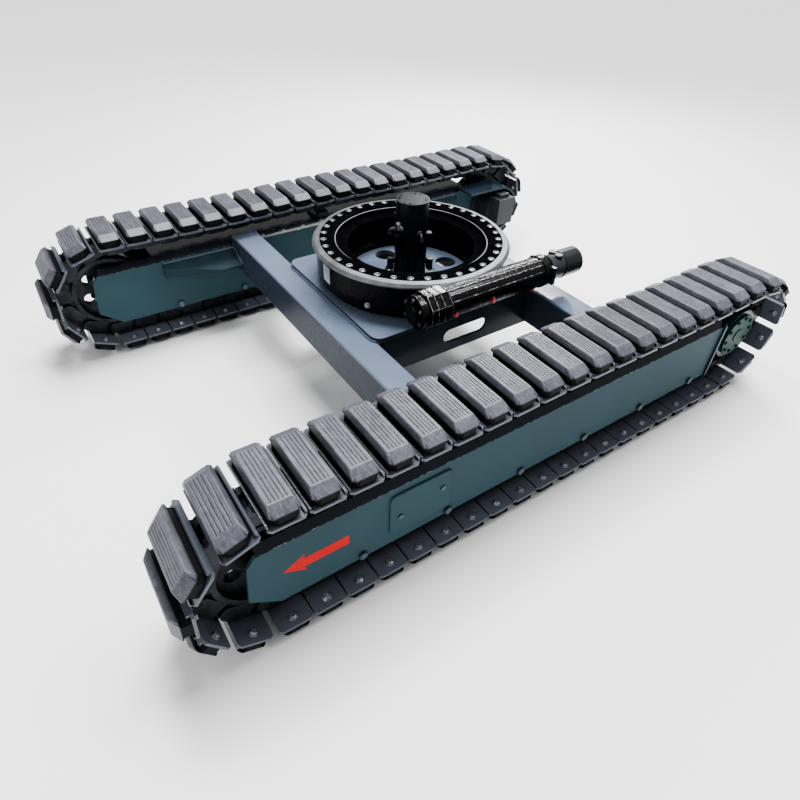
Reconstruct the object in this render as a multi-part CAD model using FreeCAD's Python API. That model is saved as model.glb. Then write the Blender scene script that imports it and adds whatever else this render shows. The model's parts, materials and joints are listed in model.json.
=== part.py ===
import FreeCAD, Part
import math
import os

# Rubber-padded crawler undercarriage with a worm slewing drive and a centre swivel joint.
# Millimetres. +Z is up, the machine travels towards -Y, its left track is at +X.
# The origin is on the ground, under the slewing axis.

V = FreeCAD.Vector

# ---- driving dimensions -------------------------------------------------------------------
PITCH = 101.6            # track chain pitch, pin to pin
LINK_COUNT = 49          # links in one chain
TEETH = 21               # sprocket teeth; every second tooth takes a pin
GAUGE = 1523.0           # distance between the two track centrelines
SHOE_WIDTH = 250.0
PAD_HEIGHT = 45.0
SHOE_THICK = 8.0
SHOE_INNER = 30.0        # pin line to the shoe's inner face
RAIL = 24.0              # pin line to the rail that the wheels run on
TOP_SAG = 5.0            # dip of the top run on each side of the carrier roller
FIRST_PIN_Y = 33.7       # where one pin of the top run stands
RUN_GAP = 0.3            # clearance between a wheel and the chain's rail
FIT = 0.05               # radial running clearance of a wheel on its shaft

PLATE_HALF = 82.0        # track centreline to the outside of a track frame plate
PLATE_THICK = 10.0
FRAME_BOTTOM = 124.0
FRAME_TOP = 346.0
FRAME_FRONT = -1045.0
FRAME_REAR = 825.0
ROOF_RISE = 20.0
ROOF_THICK = 6.0

ROLLER_COUNT = 6
ROLLER_SPACING = 290.0
ROLLER_Z = 140.0
SHAFT_R = 14.0
CARRIER_R = 34.0

BEAM_Y = 398.0           # centre of each crossbeam, front and rear
BEAM_WIDTH = 108.0
BEAM_HEIGHT = 150.0
BEAM_WALL = 8.0
BEAM_TOP = 388.0
BASE_THICK = 16.0
BASE_HALF_X = 325.0
BASE_HALF_Y = 358.0

SLEW_TOP = 556.0         # mounting face of the slewing ring
SLEW_R = 366.0
BOLT_CIRCLE_R = 324.0
BOLT_COUNT = 36
BOLT_HOLE_R = 8.75
GEAR_TEETH = 90
GEAR_TIP_R = 336.0
WORM_X = 370.0
WORM_Z = 498.0
WORM_TIP_R = 33.5
WORM_TUBE_R = 54.0

SWIVEL_TOP = 698.0
SWIVEL_R = 60.0

# ---- worked out from them -----------------------------------------------------------------
PITCHES_PER_TURN = TEETH / 2
PIN_R = PITCH / (2 * math.sin(math.pi / PITCHES_PER_TURN))
SHOE_FACE = SHOE_INNER + SHOE_THICK
AXLE_Z = PAD_HEIGHT + SHOE_FACE + PIN_R
RAIL_TOP_Z = AXLE_Z + PIN_R - RAIL
RAIL_BOTTOM_Z = AXLE_Z - PIN_R + RAIL
IDLER_R = PIN_R * math.cos(math.pi / PITCHES_PER_TURN) - RAIL - RUN_GAP
ROLLER_R = ROLLER_Z - RAIL_BOTTOM_Z - RUN_GAP
BASE_TOP = BEAM_TOP + BASE_THICK
BEAM_BOTTOM = BEAM_TOP - BEAM_HEIGHT
TRACK_X = GAUGE / 2


# ---- shape helpers ------------------------------------------------------------------------
def block(x, y, z):
    """Box from three (low, high) pairs."""
    return Part.makeBox(x[1] - x[0], y[1] - y[0], z[1] - z[0], V(x[0], y[0], z[0]))


def rod(radius, x, y, z):
    """Cylinder along X between the two x values."""
    return Part.makeCylinder(radius, x[1] - x[0], V(x[0], y, z), V(1, 0, 0))


def rod_y(radius, x, y, z):
    """Cylinder along Y between the two y values."""
    return Part.makeCylinder(radius, y[1] - y[0], V(x, y[0], z), V(0, 1, 0))


def rod_z(radius, x, y, z):
    """Cylinder along Z between the two z values."""
    return Part.makeCylinder(radius, z[1] - z[0], V(x, y, z[0]))


def tube_z(outer, inner, z):
    """Upright tube round the slewing axis."""
    low = z[0] - 1
    return rod_z(outer, 0, 0, z).cut(rod_z(inner, 0, 0, (low, z[1] + 1)))


def joined(shapes):
    """One solid from shapes that overlap or share faces."""
    return shapes[0].multiFuse(shapes[1:]).removeSplitter()


def without(shape, tools):
    """The shape less every tool."""
    return shape.cut(Part.makeCompound(tools))


def closed_face(points):
    return Part.Face(Part.makePolygon(points + [points[0]]))


def plate_x(outline, x):
    """Plate normal to X from a (y, z) outline."""
    points = [V(x[0], y, z) for y, z in outline]
    return closed_face(points).extrude(V(x[1] - x[0], 0, 0))


def bar_y(outline, y):
    """Bar along Y from an (x, z) outline."""
    points = [V(x, y[0], z) for x, z in outline]
    return closed_face(points).extrude(V(0, y[1] - y[0], 0))


def plate_z(outline, z):
    """Plate normal to Z from an (x, y) outline."""
    points = [V(x, y, z[0]) for x, y in outline]
    return closed_face(points).extrude(V(0, 0, z[1] - z[0]))


def hexagon(centre, across_r, axis, length):
    """Six-sided head whose corners are across_r from its axis."""
    side_a = V(0, 0, 1) if abs(axis.z) < 0.5 else V(1, 0, 0)
    side_b = axis.cross(side_a)
    points = []
    for k in range(6):
        turn = math.radians(60 * k)
        points.append(centre + side_a * (across_r * math.cos(turn)) + side_b * (across_r * math.sin(turn)))
    return closed_face(points).extrude(axis * length)


def around_z(shape, angle):
    """A copy of the shape turned about the slewing axis."""
    copy = shape.copy()
    copy.rotate(V(0, 0, 0), V(0, 0, 1), angle)
    return copy


def export(name, shapes):
    """Writes one node."""
    solid = shapes[0] if len(shapes) == 1 else Part.makeCompound(shapes)
    solid.exportStep("parts/" + name + ".step")


def on_side(shape, side):
    """Moves a shape made about its track's centreline to the left or the right track."""
    moved = shape.copy()
    moved.translate(V(TRACK_X, 0, 0))
    if side == "right":
        moved = moved.mirror(V(0, 0, 0), V(1, 0, 0))
    return moved


SIDES = ("left", "right")


def export_each(name, *shapes):
    """One node a side."""
    for side in SIDES:
        export(side + "_" + name, [on_side(s, side) for s in shapes])


def export_pair(name, shapes):
    """One node that holds the same pieces of both sides."""
    export(name, [on_side(s, side) for side in SIDES for s in shapes])


# ---- the loop that the chain's pins follow ------------------------------------------------
def loop_length(base):
    return 2 * base + 2 * math.pi * PIN_R


def loop_point(s, base):
    """(y, z) at distance s: top run forwards, idler, bottom run backwards, sprocket."""
    s = s % loop_length(base)
    arc = math.pi * PIN_R
    if s < base:
        dip = TOP_SAG * math.sin(2 * math.pi * s / base) ** 2
        return base / 2 - s, AXLE_Z + PIN_R - dip
    s -= base
    if s < arc:
        return -base / 2 - PIN_R * math.sin(s / PIN_R), AXLE_Z + PIN_R * math.cos(s / PIN_R)
    s -= arc
    if s < base:
        return -base / 2 + s, AXLE_Z - PIN_R
    s -= base
    return base / 2 + PIN_R * math.sin(s / PIN_R), AXLE_Z - PIN_R * math.cos(s / PIN_R)


def next_pin(s, base):
    """The distance at which the next pin stands, one pitch away in a straight line."""
    y0, z0 = loop_point(s, base)
    low, high = s + 0.9 * PITCH, s + 1.2 * PITCH
    for _ in range(50):
        middle = (low + high) / 2
        y1, z1 = loop_point(middle, base)
        if math.hypot(y1 - y0, z1 - z0) < PITCH:
            low = middle
        else:
            high = middle
    return middle


def pin_distances(base):
    distances = [base / 2 - FIRST_PIN_Y]
    for _ in range(LINK_COUNT):
        distances.append(next_pin(distances[-1], base))
    return distances


def closing_base():
    """The wheelbase at which the last link meets the first."""
    low, high = 18 * PITCH, 21 * PITCH
    for _ in range(50):
        base = (low + high) / 2
        distances = pin_distances(base)
        if distances[-1] - distances[0] > loop_length(base):
            low = base
        else:
            high = base
    return base


WHEELBASE = closing_base()
IDLER_Y = -WHEELBASE / 2
SPROCKET_Y = WHEELBASE / 2
PINS = [loop_point(s, WHEELBASE) for s in pin_distances(WHEELBASE)[:LINK_COUNT]]


def link_places():
    """Placement of each link: its own +Y points back along the chain and its +Z outwards."""
    places = []
    for k in range(LINK_COUNT):
        y0, z0 = PINS[k]
        y1, z1 = PINS[(k + 1) % LINK_COUNT]
        turn = math.degrees(math.atan2(z0 - z1, y0 - y1))
        centre = V(0, (y0 + y1) / 2, (z0 + z1) / 2)
        places.append(FreeCAD.Placement(centre, FreeCAD.Rotation(V(1, 0, 0), turn)))
    return places


PLACES = link_places()


def along_chain(shapes):
    """The shapes of one link, repeated at every link."""
    copies = []
    for place in PLACES:
        for shape in shapes:
            copy = shape.copy()
            copy.Placement = place
            copies.append(copy)
    return copies


# ---- track chain --------------------------------------------------------------------------
LINK_INNER = (22.0, 33.8)    # the rail's bush end
LINK_OUTER = (34.2, 46.0)    # the rail's pin end
LINK_END_R = 24.0
CHAIN_PIN_R = 8.5
BUSH_R = 12.0
CHAIN_GAP = 0.5
PAD_BOLT_X = 95.7
PAD_BOLT_R = 6.0
PAD_BOLT_GAP = 0.3
SHOE_HALF = 48.5             # half the shoe's length along the chain


def link_rail():
    """One side of a link, cranked so that its pin end passes outside the next link's bush end."""
    half = PITCH / 2
    height = (-RAIL, SHOE_INNER)
    overlap = 12.0
    rail = joined([
        block(LINK_INNER, (-half, overlap), height),
        rod(LINK_END_R, LINK_INNER, -half, 0),
        block(LINK_OUTER, (-overlap, half), height),
        rod(LINK_END_R, LINK_OUTER, half, 0),
        block((LINK_INNER[0], LINK_OUTER[1]), (-overlap, overlap), height),
    ])
    wide = (LINK_INNER[0] - 5, LINK_OUTER[1] + 5)
    return without(rail, [
        rod(BUSH_R + CHAIN_GAP, wide, -half, 0),
        rod(CHAIN_PIN_R + CHAIN_GAP, wide, half, 0),
    ])


def chamfered(half_x, y, cut):
    """Rectangle outline with its corners cut off."""
    return [
        (half_x - cut, y[0]), (half_x, y[0] + cut), (half_x, y[1] - cut), (half_x - cut, y[1]),
        (-half_x + cut, y[1]), (-half_x, y[1] - cut), (-half_x, y[0] + cut), (-half_x + cut, y[0]),
    ]


def shoe():
    """Pressed steel shoe with a tall lip behind and a low lip in front of its pad."""
    half = SHOE_WIDTH / 2
    corner = 8.0
    plate = plate_z(chamfered(half, (-SHOE_HALF, SHOE_HALF), corner), (SHOE_INNER, SHOE_FACE))
    rear_lip = block((-half + corner, half - corner), (41.5, SHOE_HALF), (SHOE_FACE - 1, SHOE_FACE + 9))
    front_lip = block((-half + corner, half - corner), (-SHOE_HALF, -43.0), (SHOE_FACE - 1, SHOE_FACE + 5))
    holes = [rod_z(PAD_BOLT_R + PAD_BOLT_GAP, x, 0, (0, 60)) for x in (-PAD_BOLT_X, PAD_BOLT_X)]
    return without(joined([plate, rear_lip, front_lip]), holes)


def rubber_pad():
    """Rubber block with a hipped top; its long sides lie across the track."""
    half = SHOE_WIDTH / 2 - 3
    y = (-41.0, 39.0)
    shoulder = SHOE_FACE + 22
    top = SHOE_FACE + PAD_HEIGHT
    lower = plate_z(chamfered(half, y, 10.0), (SHOE_FACE, shoulder))
    rings = []
    for inset_x, inset_y, cut, z in ((0, 0, 10.0, shoulder), (34, 7, 5.0, top)):
        outline = chamfered(half - inset_x, (y[0] + inset_y, y[1] - inset_y), cut)
        points = [V(px, py, z) for px, py in outline]
        rings.append(Part.makePolygon(points + [points[0]]))
    pad = joined([lower, Part.makeLoft(rings, True, True)])
    depth = (SHOE_FACE - 1, SHOE_FACE + 14)
    return without(pad, [rod_z(PAD_BOLT_R + PAD_BOLT_GAP, x, 0, depth) for x in (-PAD_BOLT_X, PAD_BOLT_X)])


def pad_bolt(x):
    head = hexagon(V(x, 0, SHOE_INNER), 9.5, V(0, 0, -1), 8)
    return joined([head, rod_z(PAD_BOLT_R, x, 0, (SHOE_INNER - 1, SHOE_FACE + 12))])


def chain_pin_and_bush():
    """Pin and bush at the front end of a link, on its bush."""
    y = -PITCH / 2
    pin = rod(CHAIN_PIN_R, (-46.5, 46.5), y, 0)
    bush = rod(BUSH_R, (-33.5, 33.5), y, 0).cut(rod(CHAIN_PIN_R + CHAIN_GAP, (-40, 40), y, 0))
    return [pin, bush]


def make_chains():
    rail = link_rail()
    other = rail.mirror(V(0, 0, 0), V(1, 0, 0))
    export_pair("track_links", along_chain([rail, other]))
    export_pair("track_pins_and_bushes", along_chain(chain_pin_and_bush()))
    export_pair("track_shoes", along_chain([shoe()]))
    export_pair("rubber_pads", along_chain([rubber_pad()]))
    export_pair("pad_bolts", along_chain([pad_bolt(-PAD_BOLT_X), pad_bolt(PAD_BOLT_X)]))


# ---- track frames -------------------------------------------------------------------------
OUTER_X = (PLATE_HALF - PLATE_THICK, PLATE_HALF)
INNER_X = (-PLATE_HALF, -PLATE_HALF + PLATE_THICK)
FRAME_NOSE = [
    (-965.0, FRAME_BOTTOM), (FRAME_FRONT, 187.0), (FRAME_FRONT + 11, 316.0), (-1009.0, FRAME_TOP),
]
ROLLER_YS = [(k - (ROLLER_COUNT - 1) / 2) * ROLLER_SPACING for k in range(ROLLER_COUNT)]
ROLLER_BOLT_R = 8.0
MOTOR_PILOT_R = 86.0
COVER_Y = (-640.0, -435.0)
COVER_Z = (168.0, 322.0)


def bolt_holes(x):
    return [rod(ROLLER_BOLT_R + 0.3, (x[0] - 1, x[1] + 1), y, ROLLER_Z) for y in ROLLER_YS]


def outer_side_plate():
    outline = FRAME_NOSE + [(FRAME_REAR, FRAME_TOP), (FRAME_REAR, FRAME_BOTTOM)]
    window = block(OUTER_X, (COVER_Y[0] + 20, COVER_Y[1] - 20), (COVER_Z[0] + 20, COVER_Z[1] - 20))
    return without(plate_x(outline, OUTER_X), bolt_holes(OUTER_X) + [window])


def inner_side_plate():
    """Runs on past the outer plate to carry the travel motor."""
    outline = FRAME_NOSE + [(SPROCKET_Y - 60, FRAME_TOP), (SPROCKET_Y, AXLE_Z + 120),
                            (SPROCKET_Y, AXLE_Z - 120), (SPROCKET_Y - 60, FRAME_BOTTOM)]
    plate = joined([plate_x(outline, INNER_X), rod(122.0, INNER_X, SPROCKET_Y, AXLE_Z)])
    wide = (INNER_X[0] - 1, INNER_X[1] + 1)
    return without(plate, bolt_holes(INNER_X) + [rod(MOTOR_PILOT_R, wide, SPROCKET_Y, AXLE_Z)])


ROOF_FRONT = -1005.0
IDLER_SLOT_X = 60.0
IDLER_SLOT_REAR = -790.0
CARRIER_SLOT_Y = 42.0
UPRIGHT_X = (49.0, 58.0)     # the carrier roller's uprights, beside its slot


def frame_roof():
    """Bent top plate leaning in from both side plates, open over the idler and the carrier roller."""
    top = FRAME_TOP + ROOF_RISE
    shoulder = PLATE_HALF - ROOF_RISE
    lap = ROOF_THICK * math.sqrt(2)
    inner_shoulder = shoulder - (lap - ROOF_THICK)
    outline = [
        (PLATE_HALF, FRAME_TOP), (shoulder, top), (-shoulder, top), (-PLATE_HALF, FRAME_TOP),
        (-PLATE_HALF + lap, FRAME_TOP), (-inner_shoulder, top - ROOF_THICK),
        (inner_shoulder, top - ROOF_THICK), (PLATE_HALF - lap, FRAME_TOP),
    ]
    roof = bar_y(outline, (ROOF_FRONT, FRAME_REAR))
    middle = block((-IDLER_SLOT_X, IDLER_SLOT_X), (ROOF_FRONT - 1, FRAME_REAR + 1), (FRAME_TOP - 1, top + 1))
    bends = roof.cut(middle).Solids
    sheet_z = (top - ROOF_THICK, top)
    across = (-IDLER_SLOT_X, IDLER_SLOT_X)
    sheets = [
        block(across, (IDLER_SLOT_REAR, -CARRIER_SLOT_Y), sheet_z),
        block(across, (CARRIER_SLOT_Y, FRAME_REAR), sheet_z),
    ]
    for way in (-1, 1):
        beside = tuple(sorted((way * UPRIGHT_X[0], way * IDLER_SLOT_X)))
        sheets.append(block(beside, (-CARRIER_SLOT_Y, CARRIER_SLOT_Y), sheet_z))
    return bends + sheets


def end_flange():
    """Upright plate that closes the rear end of the box, outboard of the sprocket."""
    x = (25.0, PLATE_HALF + 8)
    plate = block(x, (FRAME_REAR, FRAME_REAR + 10), (FRAME_BOTTOM - 10, FRAME_TOP + 14))
    edges = [e for e in plate.Edges if abs(e.BoundBox.XMin - x[1]) < 0.1 and e.BoundBox.YLength > 5]
    return plate.makeFillet(14.0, edges)


def access_cover():
    """Raised cover over the spring chamber."""
    thick = 7.0
    cover = block((PLATE_HALF, PLATE_HALF + thick), COVER_Y, COVER_Z)
    corners = [e for e in cover.Edges if e.BoundBox.XLength > thick - 1]
    cover = cover.makeFillet(18.0, corners)
    rim = [e for e in cover.Edges if e.BoundBox.XMin > PLATE_HALF + thick - 0.1]
    cover = cover.makeChamfer(2.0, rim)
    wide = (PLATE_HALF - 1, PLATE_HALF + thick + 1)
    return without(cover, [rod(4.3, wide, y, z) for y, z in cover_screw_places()])


def cover_screw_places():
    return [(COVER_Y[0] + 32, 232.0), (COVER_Y[1] - 32, 262.0)]


def frame_bolts():
    bolts = []
    for y in ROLLER_YS:
        for way in (-1, 1):
            face = V(way * PLATE_HALF, y, ROLLER_Z)
            head = hexagon(face, 14.0, V(way, 0, 0), 9)
            inside = (PLATE_HALF - PLATE_THICK + 0.2) * way
            span = tuple(sorted((inside, way * (PLATE_HALF + 1))))
            bolts.append(joined([head, rod(ROLLER_BOLT_R, span, y, ROLLER_Z)]))
    for y, z in cover_screw_places():
        head = rod(8.0, (PLATE_HALF + 7, PLATE_HALF + 11), y, z)
        bolts.append(joined([head, rod(4.0, (PLATE_HALF + 1, PLATE_HALF + 8), y, z)]))
    return bolts


COLLAR_X = (59.5, PLATE_HALF - PLATE_THICK)
SHAFT_COLLAR_R = 21.0
WAIST_X = 20.0
WAIST_R = 26.0
TREAD_X = 47.0
FLANGE_X = 58.5
FLANGE_RISE = 9.0


def roller_shaft(y):
    """Fixed shaft with a collar at each end."""
    pieces = [rod(SHAFT_R, (-COLLAR_X[0], COLLAR_X[0]), y, ROLLER_Z)]
    for x in (COLLAR_X, (-COLLAR_X[1], -COLLAR_X[0])):
        pieces.append(rod(SHAFT_COLLAR_R, x, y, ROLLER_Z))
    return pieces


def track_roller(y):
    """Double-flanged roller: a waist, two treads and two outer flanges, pressed together."""
    bore = rod(SHAFT_R + FIT, (-60, 60), y, ROLLER_Z)
    pieces = [rod(WAIST_R, (-WAIST_X, WAIST_X), y, ROLLER_Z)]
    for way in (-1, 1):
        tread = tuple(sorted((way * WAIST_X, way * TREAD_X)))
        flange = tuple(sorted((way * TREAD_X, way * FLANGE_X)))
        pieces.append(rod(ROLLER_R, tread, y, ROLLER_Z))
        pieces.append(rod(ROLLER_R + FLANGE_RISE, flange, y, ROLLER_Z))
    return [piece.cut(bore) for piece in pieces]


CARRIER_Z = RAIL_TOP_Z - RUN_GAP - CARRIER_R
CARRIER_SHAFT_R = 11.0


def carrier_roller():
    body = joined([rod(CARRIER_R, (-46, 46), 0, CARRIER_Z), rod(CARRIER_R - 6, (-47.5, 47.5), 0, CARRIER_Z)])
    return body.cut(rod(CARRIER_SHAFT_R + FIT, (-50, 50), 0, CARRIER_Z))


def carrier_bracket():
    """The carrier roller's fixed shaft and two uprights on the roof."""
    top = FRAME_TOP + ROOF_RISE
    upright_y = (-26, 26)
    return [
        rod(CARRIER_SHAFT_R, (-UPRIGHT_X[0], UPRIGHT_X[0]), 0, CARRIER_Z),
        block((-UPRIGHT_X[1], -UPRIGHT_X[0]), upright_y, (top, CARRIER_Z + 22)),
        block(UPRIGHT_X, upright_y, (top, CARRIER_Z + 22)),
    ]


def make_track_frames():
    export_each("outer_side_plate", outer_side_plate())
    export_each("inner_side_plate", inner_side_plate())
    export_pair("frame_roofs", frame_roof())
    export_pair("end_flanges", [end_flange()])
    export_pair("access_covers", [access_cover()])
    export_pair("frame_bolts", frame_bolts())
    export_pair("roller_shafts", [s for y in ROLLER_YS for s in roller_shaft(y)] + carrier_bracket())
    for number, y in enumerate(ROLLER_YS, start=1):
        export_each("track_roller_" + str(number), *track_roller(y))
    export_each("carrier_roller", carrier_roller())


# ---- idler and its recoil gear ------------------------------------------------------------
AXLE_R = 20.0
YOKE_X = (60.5, 69.5)
ROD_R = 16.0
SPRING_FRONT = IDLER_Y + 205.0
SPRING_REAR = SPRING_FRONT + 250.0
SPRING_WIRE_R = 8.0
SPRING_MEAN_R = 38.0
SPRING_COILS = 8
GUIDE_X = 16.0
IDLER_RIM_X = 46.0
IDLER_HUB_X = 58.0
IDLER_HUB_R = 42.0
CYLINDER_REAR = SPRING_REAR + 190.0


def idler():
    """Wheel welded up from a pierced guide disc, a rim on each side of it and two hub ends."""
    bore = rod(AXLE_R + FIT, (-60, 60), IDLER_Y, AXLE_Z)
    holes = [bore]
    for k in range(6):
        turn = math.radians(60 * k + 20)
        holes.append(rod(24.0, (-30, 30), IDLER_Y + 82 * math.cos(turn), AXLE_Z + 82 * math.sin(turn)))
    pieces = [without(rod(IDLER_R + 10, (-GUIDE_X, GUIDE_X), IDLER_Y, AXLE_Z), holes)]
    for way in (-1, 1):
        rim_x = tuple(sorted((way * GUIDE_X, way * IDLER_RIM_X)))
        hub_x = tuple(sorted((way * GUIDE_X, way * IDLER_HUB_X)))
        rim = rod(IDLER_R, rim_x, IDLER_Y, AXLE_Z)
        pieces.append(rim.cut(rod(IDLER_R - 16, (-60, 60), IDLER_Y, AXLE_Z)))
        pieces.append(rod(IDLER_HUB_R, hub_x, IDLER_Y, AXLE_Z).cut(bore))
    return pieces


def idler_yoke():
    """Fork with the idler's axle across it and the push rod behind it."""
    shapes = [rod(AXLE_R, (-YOKE_X[0] - 1, YOKE_X[0] + 1), IDLER_Y, AXLE_Z)]
    rear = SPRING_FRONT - 8
    for way in (-1, 1):
        x = tuple(sorted((way * YOKE_X[0], way * YOKE_X[1])))
        shapes.append(block(x, (IDLER_Y - 34, rear), (AXLE_Z - 32, AXLE_Z + 32)))
    shapes.append(block((-YOKE_X[1], YOKE_X[1]), (rear - 22, rear + 8), (AXLE_Z - 32, AXLE_Z + 32)))
    shapes.append(rod_y(ROD_R, 0, (rear, SPRING_REAR + 60), AXLE_Z))
    return joined(shapes)


def recoil_spring():
    """Coil spring drawn as evenly spaced closed coils joined by a short link each."""
    gap = 2 * SPRING_WIRE_R
    free = SPRING_REAR - SPRING_FRONT - gap - 0.4
    step = free / SPRING_COILS
    turns = []
    for k in range(SPRING_COILS + 1):
        y = SPRING_FRONT + 0.2 + SPRING_WIRE_R + k * step
        turns.append(Part.makeTorus(SPRING_MEAN_R, SPRING_WIRE_R, V(0, y, AXLE_Z), V(0, 1, 0)))
    for k in range(SPRING_COILS):
        y = SPRING_FRONT + 0.2 + SPRING_WIRE_R + k * step
        side = 1 if k % 2 else -1
        turns.append(rod_y(SPRING_WIRE_R - 2, side * SPRING_MEAN_R, (y, y + step), AXLE_Z))
    return joined(turns)


def adjuster_cylinder():
    """Grease cylinder behind the spring, held by a wall between the side plates."""
    end = PLATE_HALF - PLATE_THICK
    body = joined([
        rod_y(30.0, 0, (SPRING_REAR, CYLINDER_REAR), AXLE_Z),
        rod_y(52.0, 0, (SPRING_REAR, SPRING_REAR + 12), AXLE_Z),
        block((-end, end), (CYLINDER_REAR - 12, CYLINDER_REAR), (180, 335)),
    ])
    return body.cut(rod_y(ROD_R + FIT, 0, (SPRING_REAR - 1, CYLINDER_REAR - 20), AXLE_Z))


def make_idlers():
    export_each("idler", *idler())
    export_each("idler_yoke", idler_yoke())
    export_each("recoil_spring", recoil_spring())
    export_pair("adjuster_cylinders", [adjuster_cylinder()])


# ---- final drives -------------------------------------------------------------------------
SPROCKET_X = 15.0
TIP_R = PIN_R - BUSH_R - 1.5     # the tips pass just inside the bushes at every angle
ROOT_R = TIP_R - 13.0
HUB_R = 94.0
SPINDLE_R = 60.0
HUB_X = (-70.0, 70.0)
COVER_R = 86.0


def sprocket_phase():
    """Angle from the axle to one chain pin on the sprocket, where a tooth gap stands."""
    for y, z in PINS:
        if y > SPROCKET_Y + PIN_R / 2:
            return math.atan2(z - AXLE_Z, y - SPROCKET_Y)
    return 0.0


def sprocket():
    phase = sprocket_phase()
    step = 2 * math.pi / TEETH
    points = []
    for k in range(TEETH):
        for radius, share in ((ROOT_R, -0.24), (ROOT_R, 0.24), (TIP_R, 0.38), (TIP_R, 0.62)):
            turn = phase + (k + share) * step
            y = SPROCKET_Y + radius * math.cos(turn)
            points.append(V(-SPROCKET_X, y, AXLE_Z + radius * math.sin(turn)))
    disc = closed_face(points).extrude(V(2 * SPROCKET_X, 0, 0))
    return disc.cut(rod(HUB_R + 0.3, (-20, 20), SPROCKET_Y, AXLE_Z))


def drive_hub():
    """Turning gearbox housing with the flange that carries the sprocket."""
    flange_face = -SPROCKET_X - 0.1
    hub = joined([
        rod(HUB_R, HUB_X, SPROCKET_Y, AXLE_Z),
        rod(116.0, (flange_face - 12, flange_face), SPROCKET_Y, AXLE_Z),
        rod(HUB_R + 8, (48, HUB_X[1]), SPROCKET_Y, AXLE_Z),
    ])
    return hub.cut(rod(SPINDLE_R + FIT, (HUB_X[0] - 1, 12), SPROCKET_Y, AXLE_Z))


def drive_cover():
    """Bolted end cover of the gearbox."""
    face = HUB_X[1] + 0.1
    shapes = [rod(COVER_R, (face, face + 10), SPROCKET_Y, AXLE_Z),
              rod(26.0, (face, face + 13), SPROCKET_Y, AXLE_Z)]
    for k in range(10):
        turn = math.radians(36 * k + 10)
        centre = V(face + 9, SPROCKET_Y + 72 * math.cos(turn), AXLE_Z + 72 * math.sin(turn))
        shapes.append(hexagon(centre, 7.5, V(1, 0, 0), 7))
    return joined(shapes)


def travel_motor():
    """Fixed motor: pilot and spindle outboard, body and valve block inboard."""
    inner = -PLATE_HALF
    y, z = SPROCKET_Y, AXLE_Z
    return joined([
        rod(SPINDLE_R, (HUB_X[0] - 3, 10), y, z),
        rod(MOTOR_PILOT_R - 0.2, (inner - 1, HUB_X[0] - 1.5), y, z),
        rod(100.0, (inner - 14, inner), y, z),
        rod(78.0, (inner - 110, inner - 13), y, z),
        block((inner - 172, inner - 100), (y - 52, y + 52), (z - 62, z + 74)),
        block((inner - 150, inner - 108), (y - 30, y + 30), (z + 70, z + 92)),
    ])


def motor_guard():
    """Bent strap that shields the motor above, behind and below."""
    x = (-PLATE_HALF - 120, -PLATE_HALF)
    front = SPROCKET_Y - 205
    outer = joined([rod(118.0, x, SPROCKET_Y, AXLE_Z),
                    block(x, (front, SPROCKET_Y), (AXLE_Z - 118, AXLE_Z + 118))])
    wide = (x[0] - 1, x[1] + 1)
    inner = joined([rod(108.0, wide, SPROCKET_Y, AXLE_Z),
                    block(wide, (front - 1, SPROCKET_Y), (AXLE_Z - 108, AXLE_Z + 108))])
    return outer.cut(inner)


def make_final_drives():
    export_each("sprocket", sprocket())
    export_each("drive_hub", drive_hub())
    export_each("drive_cover", drive_cover())
    export_pair("travel_motors", [travel_motor()])
    export_pair("motor_guards", [motor_guard()])


# ---- cross frame --------------------------------------------------------------------------
BEAM_END = TRACK_X - PLATE_HALF
SLOT_Y = 36.0
SLOT_LENGTH = 200.0
SLOT_HEIGHT = 56.0
MEMBER_X = (306.0, 316.0)
FLOOR_HOLE_R = 40.0
FLOOR_HOLE_CIRCLE_R = 175.0
SWIVEL_HOLE_R = 72.0
GUSSET_LENGTH = 310.0
GUSSET_WIDTH = 84.0


def crossbeam(centre_y):
    """Rectangular hollow section from one track frame to the other."""
    y = (centre_y - BEAM_WIDTH / 2, centre_y + BEAM_WIDTH / 2)
    beam = block((-BEAM_END, BEAM_END), y, (BEAM_BOTTOM, BEAM_TOP))
    long_edges = [e for e in beam.Edges if e.BoundBox.XLength > BEAM_END]
    beam = beam.makeFillet(10.0, long_edges)
    core = block((-BEAM_END - 1, BEAM_END + 1), (y[0] + BEAM_WALL, y[1] - BEAM_WALL),
                 (BEAM_BOTTOM + BEAM_WALL, BEAM_TOP - BEAM_WALL))
    return beam.cut(core)


def side_member(way):
    """Web plate between the crossbeams with one long slot."""
    x = tuple(sorted((way * MEMBER_X[0], way * MEMBER_X[1])))
    end = BEAM_Y - BEAM_WIDTH / 2
    plate = block(x, (-end, end), (BEAM_BOTTOM + 2, BEAM_TOP))
    wide = (x[0] - 1, x[1] + 1)
    half = (SLOT_LENGTH - SLOT_HEIGHT) / 2
    middle = (BEAM_BOTTOM + BEAM_TOP) / 2 - 8
    slot = joined([
        block(wide, (SLOT_Y - half, SLOT_Y + half), (middle - SLOT_HEIGHT / 2, middle + SLOT_HEIGHT / 2)),
        rod(SLOT_HEIGHT / 2, wide, SLOT_Y - half, middle),
        rod(SLOT_HEIGHT / 2, wide, SLOT_Y + half, middle),
    ])
    return plate.cut(slot)


def base_plate():
    """Floor under the slewing drive, with the swivel's hole and four lightening holes."""
    plate = block((-BASE_HALF_X, BASE_HALF_X), (-BASE_HALF_Y, BASE_HALF_Y), (BEAM_TOP, BASE_TOP))
    corners = [e for e in plate.Edges if e.BoundBox.ZLength > BASE_THICK - 1]
    plate = plate.makeFillet(38.0, corners)
    through = (BEAM_TOP - 1, BASE_TOP + 1)
    holes = [rod_z(SWIVEL_HOLE_R, 0, 0, through)]
    for k in range(4):
        holes.append(around_z(rod_z(FLOOR_HOLE_R, FLOOR_HOLE_CIRCLE_R, 0, through), 90 * k))
    return without(plate, holes)


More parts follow.
